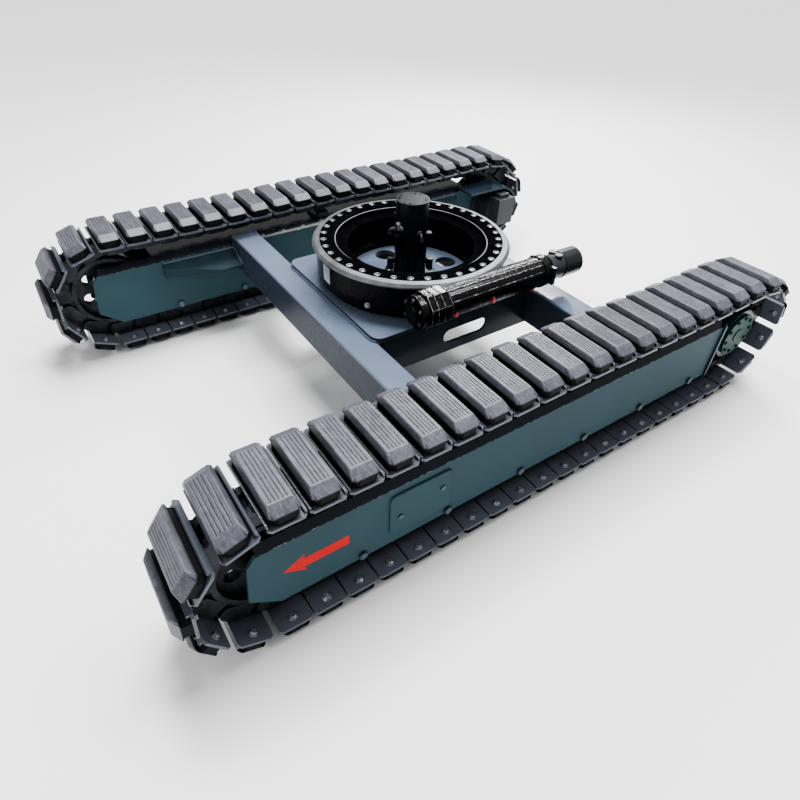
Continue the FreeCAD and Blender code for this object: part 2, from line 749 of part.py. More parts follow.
def beam_gusset(x_way, y_way):
    """Sloping wedge in the corner between a beam's outer face and the track frame."""
    face = y_way * (BEAM_Y + BEAM_WIDTH / 2)
    tip = face + y_way * GUSSET_LENGTH
    root = x_way * BEAM_END
    edge = x_way * (BEAM_END - GUSSET_WIDTH)
    section = [(root, 336), (edge, 290), (edge, 280), (root, 280)]
    wedge = bar_y(section, tuple(sorted((face, tip))))
    bend = face + y_way * 90
    plan = [(root, face), (edge, face), (edge, bend), (x_way * (BEAM_END - 20), tip), (root, tip)]
    return wedge.common(plate_z(plan, (270, 350)))


def make_cross_frame():
    export("front_crossbeam", [crossbeam(-BEAM_Y)])
    export("rear_crossbeam", [crossbeam(BEAM_Y)])
    export("side_members", [side_member(-1), side_member(1)])
    export("base_plate", [base_plate()])
    export("beam_gussets", [beam_gusset(x, y) for x in (-1, 1) for y in (-1, 1)])


# ---- slewing drive ------------------------------------------------------------------------
FLOOR_TOP = BASE_TOP + 32
FOOT_R = 328.0
RIM_BOTTOM = 535.0
BORE_R = 238.0
INNER_RING_R = 286.0
GEAR_BORE_R = 288.0
CAVITY_R = 341.0
BODY_R = 352.0
BAND_BORE_R = 338.6
TUBE_Y = (-225.0, 290.0)
COLLAR_R = 62.0
COLLAR_Y = (-214.0, -128.0)
WORM_BORE_R = 35.0
CAP_FRONT = -256.0
FLANGE_REAR = 318.0
MOTOR_REAR = 490.0
CAP_BOLT_CIRCLE = 45.0


def slew_housing():
    """Foot, floor, outer wall and the worm's tube in one casting."""
    outline = [
        (BORE_R, BASE_TOP), (FOOT_R, BASE_TOP), (FOOT_R, BASE_TOP + 10), (BODY_R, BASE_TOP + 26),
        (BODY_R, RIM_BOTTOM), (CAVITY_R, RIM_BOTTOM), (CAVITY_R, FLOOR_TOP), (BORE_R, FLOOR_TOP),
    ]
    pan = closed_face([V(r, 0, z) for r, z in outline]).revolve(V(0, 0, 0), V(0, 0, 1), 360)
    tube = joined([rod_y(WORM_TUBE_R, WORM_X, TUBE_Y, WORM_Z), worm_tube_collar()])
    cheek = block((BODY_R - 60, WORM_X), (-150, 150), (WORM_Z - 45, RIM_BOTTOM))
    tube = without(joined([tube, cheek]), [
        rod_z(CAVITY_R, 0, 0, (FLOOR_TOP, RIM_BOTTOM + 1)),
        rod_z(SLEW_R + 0.3, 0, 0, (RIM_BOTTOM, SLEW_TOP + 20)),
    ])
    bore = rod_y(WORM_BORE_R, WORM_X, (TUBE_Y[0] - 1, TUBE_Y[1] + 1), WORM_Z)
    return joined([pan, tube]).cut(bore)


def worm_tube_collar():
    """Eight-sided thickening at the front end of the worm's tube."""
    points = []
    for k in range(8):
        turn = math.radians(45 * k + 22.5)
        points.append(V(WORM_X + COLLAR_R * math.cos(turn), COLLAR_Y[0], WORM_Z + COLLAR_R * math.sin(turn)))
    return closed_face(points).extrude(V(0, COLLAR_Y[1] - COLLAR_Y[0], 0))


def slew_rim_band():
    """Machined band round the top of the housing."""
    outline = [V(BAND_BORE_R, 0, RIM_BOTTOM), V(SLEW_R - 4, 0, RIM_BOTTOM), V(SLEW_R, 0, RIM_BOTTOM + 4),
               V(SLEW_R, 0, SLEW_TOP - 13), V(SLEW_R - 9, 0, SLEW_TOP - 4), V(BAND_BORE_R, 0, SLEW_TOP - 1)]
    return closed_face(outline).revolve(V(0, 0, 0), V(0, 0, 1), 360)


def slew_inner_ring():
    """Fixed inner race with a raised seal lip."""
    lip = 548.0
    outline = [(BORE_R, FLOOR_TOP), (INNER_RING_R, FLOOR_TOP), (INNER_RING_R, lip), (INNER_RING_R - 8, lip),
               (INNER_RING_R - 11, 532.0), (BORE_R + 3, 532.0), (BORE_R, 529.0)]
    face = closed_face([V(r, 0, z) for r, z in outline])
    return face.revolve(V(0, 0, 0), V(0, 0, 1), 360)


def slew_ring_gear():
    """Turning ring: worm teeth outside, a circle of tapped holes in its top."""
    low, high = FLOOR_TOP + 1, SLEW_TOP
    band = (WORM_Z - 26, WORM_Z + 26)
    root = GEAR_TIP_R - 8
    step = 2 * math.pi / GEAR_TEETH
    points = []
    for k in range(GEAR_TEETH):
        for radius, share in ((root, -0.20), (root, 0.20), (GEAR_TIP_R, 0.34), (GEAR_TIP_R, 0.66)):
            turn = (k + share) * step
            points.append(V(radius * math.cos(turn), radius * math.sin(turn), band[0]))
    toothed = closed_face(points).extrude(V(0, 0, band[1] - band[0]))
    body = joined([rod_z(root - 2, 0, 0, (low, band[0] + 1)), toothed,
                   rod_z(GEAR_TIP_R + 2, 0, 0, (band[1] - 0.5, high))])
    cuts = [rod_z(GEAR_BORE_R, 0, 0, (low - 1, high + 1))]
    hole = rod_z(BOLT_HOLE_R, BOLT_CIRCLE_R, 0, (high - 36, high + 1))
    for k in range(BOLT_COUNT):
        cuts.append(around_z(hole, (k + 0.5) * 360 / BOLT_COUNT))
    return without(body, cuts)


def worm():
    """Worm shaft; its thread is drawn as a row of closed rings."""
    shapes = [rod_y(20.0, WORM_X, (TUBE_Y[0] + 1, TUBE_Y[1] - 1), WORM_Z)]
    lead = 2 * math.pi * GEAR_TIP_R / GEAR_TEETH
    count = 9
    shapes.append(rod_y(WORM_TIP_R - 8, WORM_X, (-count * lead / 2 - 5, count * lead / 2 + 5), WORM_Z))
    for k in range(count):
        y = (k - (count - 1) / 2) * lead
        shapes.append(rod_y(WORM_TIP_R, WORM_X, (y - lead * 0.2, y + lead * 0.2), WORM_Z))
    for end in (-1, 1):
        y = end * 160
        shapes.append(rod_y(WORM_BORE_R - 0.08, WORM_X, (y - 12, y + 12), WORM_Z))
    return joined(shapes)


def worm_end_caps():
    front = joined([rod_y(WORM_TUBE_R + 3, WORM_X, (CAP_FRONT + 14, TUBE_Y[0]), WORM_Z),
                    rod_y(30.0, WORM_X, (CAP_FRONT, TUBE_Y[0] - 1), WORM_Z)])
    rear = rod_y(WORM_TUBE_R + 4, WORM_X, (TUBE_Y[1], FLANGE_REAR), WORM_Z)
    return [front, rear]


def worm_motor():
    """Orbit motor: two-ear flange, gear section and rounded end."""
    flange = joined([
        block((WORM_X - 62, WORM_X + 62), (FLANGE_REAR, FLANGE_REAR + 14), (WORM_Z - 32, WORM_Z + 32)),
        rod_y(46.0, WORM_X, (FLANGE_REAR, FLANGE_REAR + 40), WORM_Z),
    ])
    body = rod_y(41.0, WORM_X, (FLANGE_REAR + 38, MOTOR_REAR - 88), WORM_Z)
    can = rod_y(50.0, WORM_X, (MOTOR_REAR - 90, MOTOR_REAR), WORM_Z)
    rims = [e for e in can.Edges if e.BoundBox.YLength < 0.1 and e.BoundBox.YMin > MOTOR_REAR - 1]
    can = can.makeChamfer(8.0, rims)
    ports = [rod_z(14.0, WORM_X - 16, MOTOR_REAR - 110, (WORM_Z + 20, WORM_Z + 52)),
             rod_z(14.0, WORM_X + 16, MOTOR_REAR - 110, (WORM_Z + 20, WORM_Z + 52))]
    return joined([flange, body, can] + ports)


def slew_bolts():
    """Screw heads on both end caps and round the housing's foot."""
    heads = []
    for k in range(6):
        turn = math.radians(60 * k + 30)
        x = WORM_X + CAP_BOLT_CIRCLE * math.cos(turn)
        z = WORM_Z + CAP_BOLT_CIRCLE * math.sin(turn)
        heads.append(rod_y(6.5, x, (CAP_FRONT + 5, CAP_FRONT + 14), z))
    return heads


def worm_plugs():
    """Transport plugs in the tube's grease ports, each turned below the horizontal."""
    plugs = []
    for y, droop in ((-110.0, 24.0), (47.0, 16.0), (254.0, 50.0)):
        face = WORM_X + WORM_TUBE_R - 1
        head = hexagon(V(face, y, WORM_Z), 7.0, V(1, 0, 0), 10)
        plug = joined([head, rod(9.5, (face, face + 3), y, WORM_Z)])
        plug = plug.cut(rod_y(WORM_TUBE_R, WORM_X, TUBE_Y, WORM_Z))
        plug.rotate(V(WORM_X, y, WORM_Z), V(0, 1, 0), droop)
        plugs.append(plug)
    return plugs


def make_slewing_drive():
    export("slew_housing", [slew_housing()])
    export("slew_rim_band", [slew_rim_band()])
    export("slew_inner_ring", [slew_inner_ring()])
    export("slew_ring_gear", [slew_ring_gear()])
    export("worm", [worm()])
    export("worm_end_caps", worm_end_caps())
    export("worm_motor", [worm_motor()])
    export("slew_bolts", slew_bolts())
    export("worm_plugs", worm_plugs())


# ---- centre swivel joint ------------------------------------------------------------------
CORE_R = 46.0
ROTOR_BOTTOM = 520.0


def port(angle, radius, z, reach, rise):
    """Elbow fitting: a nipple outwards and a union that turns up or down."""
    out = radius + reach
    nipple = Part.makeCylinder(11.0, reach + 6, V(radius - 6, 0, z), V(1, 0, 0))
    low, high = sorted((z, z + rise))
    union = rod_z(12.0, out - 2, 0, (low - 12, high + 12))
    return around_z(joined([nipple, union]), angle)


def swivel_core():
    """Fixed spindle with its foot and the lower hose ports."""
    shapes = [rod_z(CORE_R, 0, 0, (BEAM_TOP - 10, SWIVEL_TOP - 40)),
              rod_z(SWIVEL_R, 0, 0, (BASE_TOP, ROTOR_BOTTOM - 0.5)),
              rod_z(96.0, 0, 0, (BASE_TOP, BASE_TOP + 10))]
    for angle, z in ((35, 470.0), (160, 478.0), (250, 462.0), (305, 480.0)):
        shapes.append(port(angle, SWIVEL_R, z, 20, -18))
    return joined(shapes)


def swivel_rotor():
    """Turning barrel with its upper elbows."""
    shapes = [rod_z(SWIVEL_R, 0, 0, (ROTOR_BOTTOM, SWIVEL_TOP - 9))]
    for angle, z, rise in ((140, 655.0, 12), (190, 585.0, 22), (20, 560.0, 20), (285, 570.0, -20)):
        shapes.append(port(angle, SWIVEL_R, z, 18, rise))
    return joined(shapes).cut(rod_z(CORE_R + FIT, 0, 0, (ROTOR_BOTTOM - 1, SWIVEL_TOP - 39)))


def swivel_cover():
    """Top plate with four screws."""
    shapes = [rod_z(SWIVEL_R + 1, 0, 0, (SWIVEL_TOP - 8.9, SWIVEL_TOP - 2))]
    for k in range(4):
        x = 48 * math.cos(math.radians(90 * k + 45))
        y = 48 * math.sin(math.radians(90 * k + 45))
        shapes.append(rod_z(5.5, x, y, (SWIVEL_TOP - 5, SWIVEL_TOP)))
    return joined(shapes)


def make_swivel():
    export("swivel_core", [swivel_core()])
    export("swivel_rotor", [swivel_rotor()])
    export("swivel_cover", [swivel_cover()])


os.makedirs("parts", exist_ok=True)
make_chains()
make_track_frames()
make_idlers()
make_final_drives()
make_cross_frame()
make_slewing_drive()
make_swivel()
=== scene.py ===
import json
import random
from math import atan2, copysign, cos, degrees, pi, radians, sin

import bmesh
import bpy
from mathutils import Matrix, Vector


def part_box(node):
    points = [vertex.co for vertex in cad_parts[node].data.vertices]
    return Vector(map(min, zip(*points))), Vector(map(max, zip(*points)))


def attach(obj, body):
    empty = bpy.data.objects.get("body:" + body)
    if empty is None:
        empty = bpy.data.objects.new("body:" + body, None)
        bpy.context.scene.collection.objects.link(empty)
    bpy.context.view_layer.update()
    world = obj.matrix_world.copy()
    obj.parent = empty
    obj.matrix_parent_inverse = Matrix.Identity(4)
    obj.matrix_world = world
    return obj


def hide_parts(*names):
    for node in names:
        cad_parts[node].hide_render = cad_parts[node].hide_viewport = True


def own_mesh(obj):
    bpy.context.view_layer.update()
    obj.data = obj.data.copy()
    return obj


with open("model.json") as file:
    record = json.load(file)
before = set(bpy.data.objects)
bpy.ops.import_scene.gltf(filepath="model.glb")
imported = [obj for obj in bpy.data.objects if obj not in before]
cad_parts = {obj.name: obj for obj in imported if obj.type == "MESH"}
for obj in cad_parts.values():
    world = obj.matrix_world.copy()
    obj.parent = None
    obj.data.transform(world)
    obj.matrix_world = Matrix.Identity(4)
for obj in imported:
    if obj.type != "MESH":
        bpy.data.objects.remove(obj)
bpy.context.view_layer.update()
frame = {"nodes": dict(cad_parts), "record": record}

# Looks of a rubber-padded crawler undercarriage. Metres. +Z is up, the machine travels towards -Y,
# its left track is at +X, and the slewing axis is the Z axis.

MM = 0.001
RNG = random.Random(7)
ROOT = "undercarriage"
SIDES = {"left": 1, "right": -1}
UP = (0, 0, 1)
NORMAL_SAMPLES = 4
COAT_ROUGHNESS = 0.08


# ---- node helpers
class Paint:
    """A material under construction: its tree, its shader and shortcuts for adding nodes."""

    def __init__(self, name, rough, metallic=0.0, coat=0.0, specular=0.5):
        self.made = bpy.data.materials.new(name)
        self.made.use_nodes = True
        self.tree = self.made.node_tree
        self.shader = self.tree.nodes["Principled BSDF"]
        constants = {"Roughness": rough, "Metallic": metallic, "Coat Weight": coat,
                     "Coat Roughness": COAT_ROUGHNESS, "Specular IOR Level": specular}
        for key, value in constants.items():
            self.shader.inputs[key].default_value = value
        self.place = self.node("ShaderNodeTexCoord").outputs["Object"]

    def node(self, kind, constants=None, **settings):
        """A new node with its settings, and the constants of its inputs."""
        made = self.tree.nodes.new(kind)
        for key, value in settings.items():
            setattr(made, key, value)
        for key, value in (constants or {}).items():
            made.inputs[key].default_value = value
        return made

    def link(self, source, target):
        self.tree.links.new(source, target)

    def put(self, socket, value):
        """Links a socket or sets a constant."""
        if isinstance(value, bpy.types.NodeSocket):
            self.link(value, socket)
        else:
            socket.default_value = value

    def noise(self, scale, detail=3.0, rough=0.55, stretch=None, warp=0.0):
        """Noise in the piece's own frame, stretched along its axes if asked."""
        made = self.node("ShaderNodeTexNoise", {"Scale": scale, "Detail": detail, "Roughness": rough,
                                                "Distortion": warp})
        source = self.place
        if stretch:
            mapping = self.node("ShaderNodeMapping", {"Scale": stretch})
            self.link(source, mapping.inputs["Vector"])
            source = mapping.outputs["Vector"]
        self.link(source, made.inputs["Vector"])
        return made.outputs["Fac"]

    def ramp(self, value, low, high, start=0.0, end=1.0):
        """Maps low..high onto start..end, clamped."""
        made = self.node("ShaderNodeMapRange", {"From Min": low, "From Max": high, "To Min": start,
                                                "To Max": end})
        self.link(value, made.inputs["Value"])
        return made.outputs["Result"]

    def maths(self, operation, a, b=0.0):
        made = self.node("ShaderNodeMath", operation=operation)
        self.put(made.inputs[0], a)
        self.put(made.inputs[1], b)
        return made.outputs[0]

    def mixed(self, share, a, b):
        """Colour a at share 0, colour b at share 1."""
        made = self.node("ShaderNodeMix", data_type="RGBA")
        self.put(made.inputs["Factor"], share)
        colour_a, colour_b = made.inputs[6], made.inputs[7]
        for socket, value in ((colour_a, a), (colour_b, b)):
            if isinstance(value, tuple):
                value = (*value[:3], 1.0)
            self.put(socket, value)
        colour = made.outputs[2]
        return colour

    def round_normal(self, radius):
        """The normal of a surface whose edges are rounded by a radius."""
        made = self.node("ShaderNodeBevel", {"Radius": radius}, samples=NORMAL_SAMPLES)
        return made.outputs["Normal"]

    def edge_mask(self, rounded, low, high):
        """1 on outer edges, 0 on flat faces; it places the chips, which are painted highlights where they are
        pale.
        """
        geometry = self.node("ShaderNodeNewGeometry")
        dot = self.node("ShaderNodeVectorMath", operation="DOT_PRODUCT")
        self.link(rounded, dot.inputs[0])
        self.link(geometry.outputs["Normal"], dot.inputs[1])
        turned = self.maths("SUBTRACT", 1.0, dot.outputs["Value"])
        return self.ramp(turned, low, high)

    def crevice(self, reach, low, high):
        """1 deep in a gap, 0 in the open."""
        made = self.node("ShaderNodeAmbientOcclusion", {"Distance": reach}, samples=NORMAL_SAMPLES)
        return self.ramp(made.outputs["AO"], low, high, 1.0, 0.0)

    def facing_up(self, low, high):
        """1 on faces that look up, in the piece's own frame."""
        coordinates = self.node("ShaderNodeTexCoord")
        parts = self.node("ShaderNodeSeparateXYZ")
        self.link(coordinates.outputs["Normal"], parts.inputs[0])
        return self.ramp(parts.outputs["Z"], low, high)

    def bump(self, layers, normal):
        """Chains bumps, each (height socket, strength, distance), onto a normal."""
        for height, strength, distance in layers:
            made = self.node("ShaderNodeBump", {"Strength": strength, "Distance": distance})
            self.link(height, made.inputs["Height"])
            self.link(normal, made.inputs["Normal"])
            normal = made.outputs["Normal"]
        self.link(normal, self.shader.inputs["Normal"])

    def finish(self, colour, rough):
        """The material, once its colour and roughness are linked."""
        self.put(self.shader.inputs["Base Color"], colour)
        self.put(self.shader.inputs["Roughness"], rough)
        return self.made


def shade(colour, factor):
    """A paler or darker version of a colour."""
    return tuple(min(1.0, c * factor) for c in colour[:3])


# ---- materials
# noise() takes its scale, in cells per metre, and its detail. ramp() takes the range of its input that
# is spread over the mix, and the shares at both ends. bump() takes a strength and a height in metres.
BLACK = (0.0, 0.0, 0.0)
DUST = (0.42, 0.42, 0.40)
BARE_STEEL = (0.30, 0.31, 0.32)
RUBBED_STEEL = (0.34, 0.34, 0.35)
SIDE_COAT = 0.15       # shares of the coat and the specular level left on upright faces
SIDE_SPECULAR = 0.25


def painted(name, colour, rough=0.32, coat=0.25, mottle=0.12, peel=0.10, wear=0.35, dust=0.0,
            bare=BARE_STEEL, edge=0.0016, specular=0.35, gap=0.0, specks=0.05, runs=0.0, sides=1.0):
    """Sprayed enamel: orange peel, cloudy tone, dust on top and chips along the edges, which a pale bare
    colour turns into a painted highlight. gap is how deep a crevice has to be to get painted shade, runs
    is how thick the paint lies, and sides is the share of the tone that upright faces keep, a painted shade."""
    p = Paint(name, rough, coat=coat, specular=specular)
    clouds = p.noise(3.2, 4.0, 0.6, warp=0.4)
    fine = p.noise(60.0, 5.0, 0.65)
    tone = p.mixed(p.ramp(clouds, 0.3, 0.7), shade(colour, 1 - mottle), shade(colour, 1 + mottle))
    tone = p.mixed(p.ramp(fine, 0.50, 0.85, 0.0, specks), tone, shade(colour, 0.72))
    # painted shade: upright faces keep only the share sides of the tone, and get less coat and specular
    if sides < 1.0:
        up = p.facing_up(0.0, 0.7)
        tone = p.mixed(up, p.mixed(sides, BLACK, tone), tone)
        p.put(p.shader.inputs["Coat Weight"], p.ramp(up, 0.0, 1.0, coat * SIDE_COAT, coat))
        side_specular = specular * SIDE_SPECULAR
        p.put(p.shader.inputs["Specular IOR Level"], p.ramp(up, 0.0, 1.0, side_specular, specular))
    rounded = p.round_normal(edge)
    settled = p.maths("MULTIPLY", p.facing_up(0.6, 1.0), p.ramp(fine, 0.35, 0.75, 0.3, 1.0))
    tone = p.mixed(p.maths("MULTIPLY", settled, dust), tone, DUST)
    chips = p.maths("MULTIPLY", p.edge_mask(rounded, 0.02, 0.12), p.ramp(fine, 0.50, 0.62))
    chips = p.maths("MULTIPLY", chips, wear)
    tone = p.mixed(chips, tone, bare)
    # painted shade: the tone goes dark deep in crevices, by ambient occlusion
    if gap:
        tone = p.mixed(p.crevice(gap, 0.25, 0.80), tone, shade(colour, 0.15))
    gloss = p.ramp(clouds, 0.3, 0.7, max(0.05, rough - 0.05), rough + 0.07)
    gloss = p.maths("ADD", gloss, p.maths("MULTIPLY", settled, dust * 1.5))
    layers = [(p.noise(420.0, 2.0), peel, 0.0006), (p.noise(9.0, 2.0), 0.10, 0.004)]
    if runs:
        layers.append((p.noise(75.0, 2.0, warp=0.8), runs, 0.0035))
    p.bump(layers, rounded)
    return p.finish(tone, gloss)


def rubber(name, colour):
    """Moulded rubber: fine grain, scuffs along the pad, and paler edges, partly wear and partly a painted
    highlight. Each pad has its own tint. The skin attribute is 1 on the tread, less on the slopes and under 0
    on the walls; the lower it is, the darker the painted shade. Gaps get painted shade too."""
    p = Paint(name, 0.5, specular=0.35)
    grain = p.noise(650.0, 3.0, 0.6)
    scuffs = p.noise(30.0, 6.0, 0.7, stretch=(0.5, 5.0, 5.0), warp=0.6)
    blotch = p.noise(7.0, 3.0)
    each = p.node("ShaderNodeAttribute", attribute_name="tint").outputs["Fac"]
    groove = p.node("ShaderNodeAttribute", attribute_name="groove").outputs["Fac"]
    skin = p.node("ShaderNodeAttribute", attribute_name="skin").outputs["Fac"]
    dirt = p.noise(48.0, 6.0, 0.7, warp=0.3)
    tone = p.mixed(p.ramp(blotch, 0.3, 0.7), shade(colour, 0.68), shade(colour, 1.25))
    tone = p.mixed(p.ramp(each, 0.0, 1.0, 0.0, 0.60), tone, shade(colour, 0.55))
    tone = p.mixed(p.ramp(dirt, 0.42, 0.66, 0.0, 0.75), tone, shade(colour, 0.45))
    # darker on the groove floors, in patches
    groove_darkening = p.maths("MULTIPLY", p.ramp(groove, 0.30, 0.9), p.ramp(dirt, 0.35, 0.6, 0.35, 0.9))
    tone = p.mixed(groove_darkening, tone, shade(colour, 0.30))
    tone = p.mixed(p.ramp(scuffs, 0.52, 0.70, 0.0, 0.45), tone, shade(colour, 2.0))
    rounded = p.round_normal(0.0012)
    # paler edges: partly rubbed wear, partly a painted highlight along them
    worn = p.maths("MULTIPLY", p.edge_mask(rounded, 0.02, 0.14), p.ramp(scuffs, 0.38, 0.6))
    tone = p.mixed(p.maths("MULTIPLY", worn, 0.55), tone, shade(colour, 2.3))
    # painted shade: the walls and the lower slopes go nearly black as the skin attribute drops
    tone = p.mixed(p.ramp(skin, 0.0, 1.0, 0.94, 0.0), tone, shade(colour, 0.05))
    # painted shade deep in the gaps, by ambient occlusion
    tone = p.mixed(p.crevice(0.03, 0.25, 0.75), tone, shade(colour, 0.06))
    gloss = p.ramp(scuffs, 0.35, 0.75, 0.32, 0.54)
    p.put(p.shader.inputs["Specular IOR Level"], p.ramp(skin, 0.0, 1.0, 0.05, 0.38))
    p.bump([(grain, 0.16, 0.0005), (scuffs, 0.22, 0.0016), (blotch, 0.20, 0.004)], rounded)
    return p.finish(tone, gloss)


def cast(name, colour, rough=0.42, metallic=0.35, sheen=1.9, edge=0.0010, wear=0.6, specular=0.3):
    """Dark oiled steel with polished edges and a rough skin. sheen is how pale its stains are."""
    p = Paint(name, rough, metallic=metallic, specular=specular)
    skin = p.noise(210.0, 4.0, 0.6)
    stains = p.noise(18.0, 5.0, 0.65, warp=0.5)
    tone = p.mixed(p.ramp(stains, 0.32, 0.7), shade(colour, 0.7), shade(colour, sheen))
    rounded = p.round_normal(edge)
    worn = p.maths("MULTIPLY", p.edge_mask(rounded, 0.03, 0.16), p.ramp(stains, 0.35, 0.6))
    tone = p.mixed(p.maths("MULTIPLY", worn, wear), tone, RUBBED_STEEL)
    gloss = p.ramp(stains, 0.3, 0.75, rough + 0.14, max(0.12, rough - 0.14))
    p.bump([(skin, 0.22, 0.0007)], rounded)
    return p.finish(tone, gloss)


def turned_steel(name, colour, rough):
    """Machined steel with fine rings round the Z axis."""
    p = Paint(name, rough, metallic=0.75)
    parts = p.node("ShaderNodeSeparateXYZ")
    p.link(p.place, parts.inputs[0])
    radius = p.maths("SQRT", p.maths("ADD", p.maths("POWER", parts.outputs["X"], 2.0),
                                     p.maths("POWER", parts.outputs["Y"], 2.0)))
    rings = p.node("ShaderNodeCombineXYZ")
    p.link(radius, rings.inputs["X"])
    p.link(parts.outputs["Z"], rings.inputs["Y"])
    lines = p.node("ShaderNodeTexNoise", {"Scale": 1500.0, "Detail": 2.0})
    p.link(rings.outputs[0], lines.inputs["Vector"])
    smears = p.noise(14.0, 4.0, 0.6, warp=0.5)
    tone = p.mixed(p.ramp(smears, 0.35, 0.7), shade(colour, 0.72), shade(colour, 1.15))
    gloss = p.ramp(smears, 0.3, 0.7, rough, rough + 0.16)
    p.bump([(lines.outputs["Fac"], 0.12, 0.0003)], p.round_normal(0.0012))
    return p.finish(tone, gloss)


def zinc(name, colour):
    """Plated screw heads, slightly dulled."""
    p = Paint(name, 0.3, metallic=0.8)
    dull = p.noise(95.0, 4.0)
    tone = p.mixed(p.ramp(dull, 0.35, 0.7), colour, shade(colour, 0.45))
    p.bump([(dull, 0.10, 0.0004)], p.round_normal(0.0008))
    return p.finish(tone, p.ramp(dull, 0.3, 0.7, 0.22, 0.42))


def glossy_plastic(name, colour):
    """Moulded plastic caps."""
    p = Paint(name, 0.28, coat=0.3)
    fine = p.noise(160.0, 3.0)
    tone = p.mixed(p.ramp(fine, 0.35, 0.7), shade(colour, 0.85), shade(colour, 1.1))
    p.bump([(fine, 0.05, 0.0003)], p.round_normal(0.0008))
    return p.finish(tone, p.ramp(fine, 0.3, 0.7, 0.22, 0.36))


def stage_grey(name, colour):
    """The floor: plain, with a faint cloudiness."""
    rough = 0.7
    p = Paint(name, rough)
    clouds = p.noise(0.6, 3.0)
    return p.finish(p.mixed(p.ramp(clouds, 0.3, 0.7), shade(colour, 0.985), colour), rough)


RECIPES = (
    # The record's slots.
    ("pad_rubber", rubber, (0.126, 0.127, 0.156), {}),
    # gap gives the shoes painted shade in their crevices
    ("shoe_paint", painted, (0.088, 0.098, 0.124),
     dict(rough=0.30, wear=0.7, peel=0.16, gap=0.03, runs=0.25)),
    ("chain_black", cast, (0.013, 0.015, 0.019), dict(sheen=2.4, wear=0.9)),
    ("frame_paint", painted, (0.041, 0.080, 0.096),
     dict(rough=0.46, coat=0.0, specks=0.0, specular=0.07)),
    # pale bare colour: the chips along the roof's edges are painted highlights
    ("roof_black", painted, (0.012, 0.016, 0.024),
     dict(rough=0.16, peel=0.22, specular=0.15, runs=0.15, wear=0.9, bare=(0.55, 0.57, 0.60),
          edge=0.0026)),
    # sides paints shade on the beams' upright faces
    ("cross_paint", painted, (0.118, 0.150, 0.208),
     dict(rough=0.24, mottle=0.05, dust=0.02, specks=0.0, specular=0.25, sides=0.27)),
    ("member_paint", painted, (0.018, 0.028, 0.042),
     dict(rough=0.20, coat=0.15, specks=0.0, specular=0.15)),
    # sides also takes a little tone off upright faces, a painted shade
    ("slew_black", painted, (0.003, 0.003, 0.004),
     dict(rough=0.07, coat=0.30, peel=0.55, wear=0.12, specular=0.16, runs=0.75, sides=0.9)),
    ("ring_black", cast, (0.003, 0.003, 0.004),
     dict(rough=0.45, metallic=0.0, wear=0.3, sheen=1.4, specular=0.0)),
    ("machined_steel", turned_steel, (0.17, 0.175, 0.19), dict(rough=0.38)),
    ("swivel_black", painted, (0.006, 0.007, 0.009),
     dict(rough=0.28, coat=0.05, peel=0.06, wear=0.25, specular=0.09)),
    ("zinc_bolt", zinc, (0.46, 0.47, 0.48), {}),
    ("hub_teal", painted, (0.006, 0.044, 0.034), dict(rough=0.30, coat=0.0, specular=0.07)),
    ("motor_grey", painted, (0.030, 0.034, 0.041),
     dict(rough=0.34, coat=0.1, dust=0.03, specular=0.25)),
    ("plug_red", glossy_plastic, (0.55, 0.015, 0.035), {}),
    # Looks that no slot has, for single nodes and added pieces.
    ("motor_black", painted, (0.012, 0.014, 0.017), dict(rough=0.26, specular=0.3)),
    ("arrow_red", painted, (0.66, 0.014, 0.012), dict(rough=0.45, wear=0.1, coat=0.0, specular=0.15)),
    ("bright_steel", turned_steel, (0.62, 0.63, 0.64), dict(rough=0.26)),
    ("screw_black", painted, (0.012, 0.013, 0.016), dict(rough=0.24, coat=0.3, wear=0.8)),
    # painted glints: pale chips all along the ridges' edges
    ("ridge_black", painted, (0.010, 0.011, 0.013),
     dict(rough=0.10, coat=0.5, wear=1.0, bare=(0.62, 0.64, 0.68), edge=0.0030, specular=0.4)),
    ("gusset_paint", painted, (0.020, 0.042, 0.052),
     dict(rough=0.5, coat=0.0, specks=0.0, specular=0.10)),
    ("painted_bolt", zinc, (0.085, 0.135, 0.145), {}),
    ("worn_union", zinc, (0.10, 0.10, 0.11), {}),
    ("worn_bolt", zinc, (0.44, 0.46, 0.52), {}),
)
MATERIALS = {name: make(name, colour, **settings) for name, make, colour, settings in RECIPES}
NODE_LOOKS = {
    "left_drive_hub": "member_paint",
    "right_drive_hub": "member_paint",
    "beam_gussets": "gusset_paint",
    "slew_bolts": "screw_black",
    "worm_motor": "motor_black",
    "end_flanges": "member_paint",
    "frame_bolts": "painted_bolt",
}


def dress_cad_nodes():
    """Gives each CAD node the material of its slot in the record, or one of its own."""
    for part in frame["record"]["subparts"]:
        data = frame["nodes"][part["node"]].data
        data.materials.clear()
        data.materials.append(MATERIALS[NODE_LOOKS.get(part["node"], part["material_slot"])])


# ---- mesh helpers
SAME_POINT = 1e-6


def added(name, data):
    """A new object in the scene."""
    made = bpy.data.objects.new(name, data)
    bpy.context.scene.collection.objects.link(made)
    return made


def piece(name, mesh, slot, body, replaced=(), look=None):
    """A new piece of the object, finished from one slot and riding on one body."""
    made = added(name, mesh)
    mesh.materials.clear()
    mesh.materials.append(MATERIALS[look or slot])
    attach(made, body)
    if replaced:
        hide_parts(*replaced)
    return made


def smooth_by_angle(mesh, angle):
    """Shades a mesh smooth, except at edges that turn by more than an angle."""
    limit = radians(angle)
    mesh.polygons.foreach_set("use_smooth", [True] * len(mesh.polygons))
    bm = bmesh.new()
    bm.from_mesh(mesh)
    for edge in bm.edges:
        edge.smooth = len(edge.link_faces) == 2 and edge.calc_face_angle(0.0) < limit
    bm.to_mesh(mesh)
    bm.free()


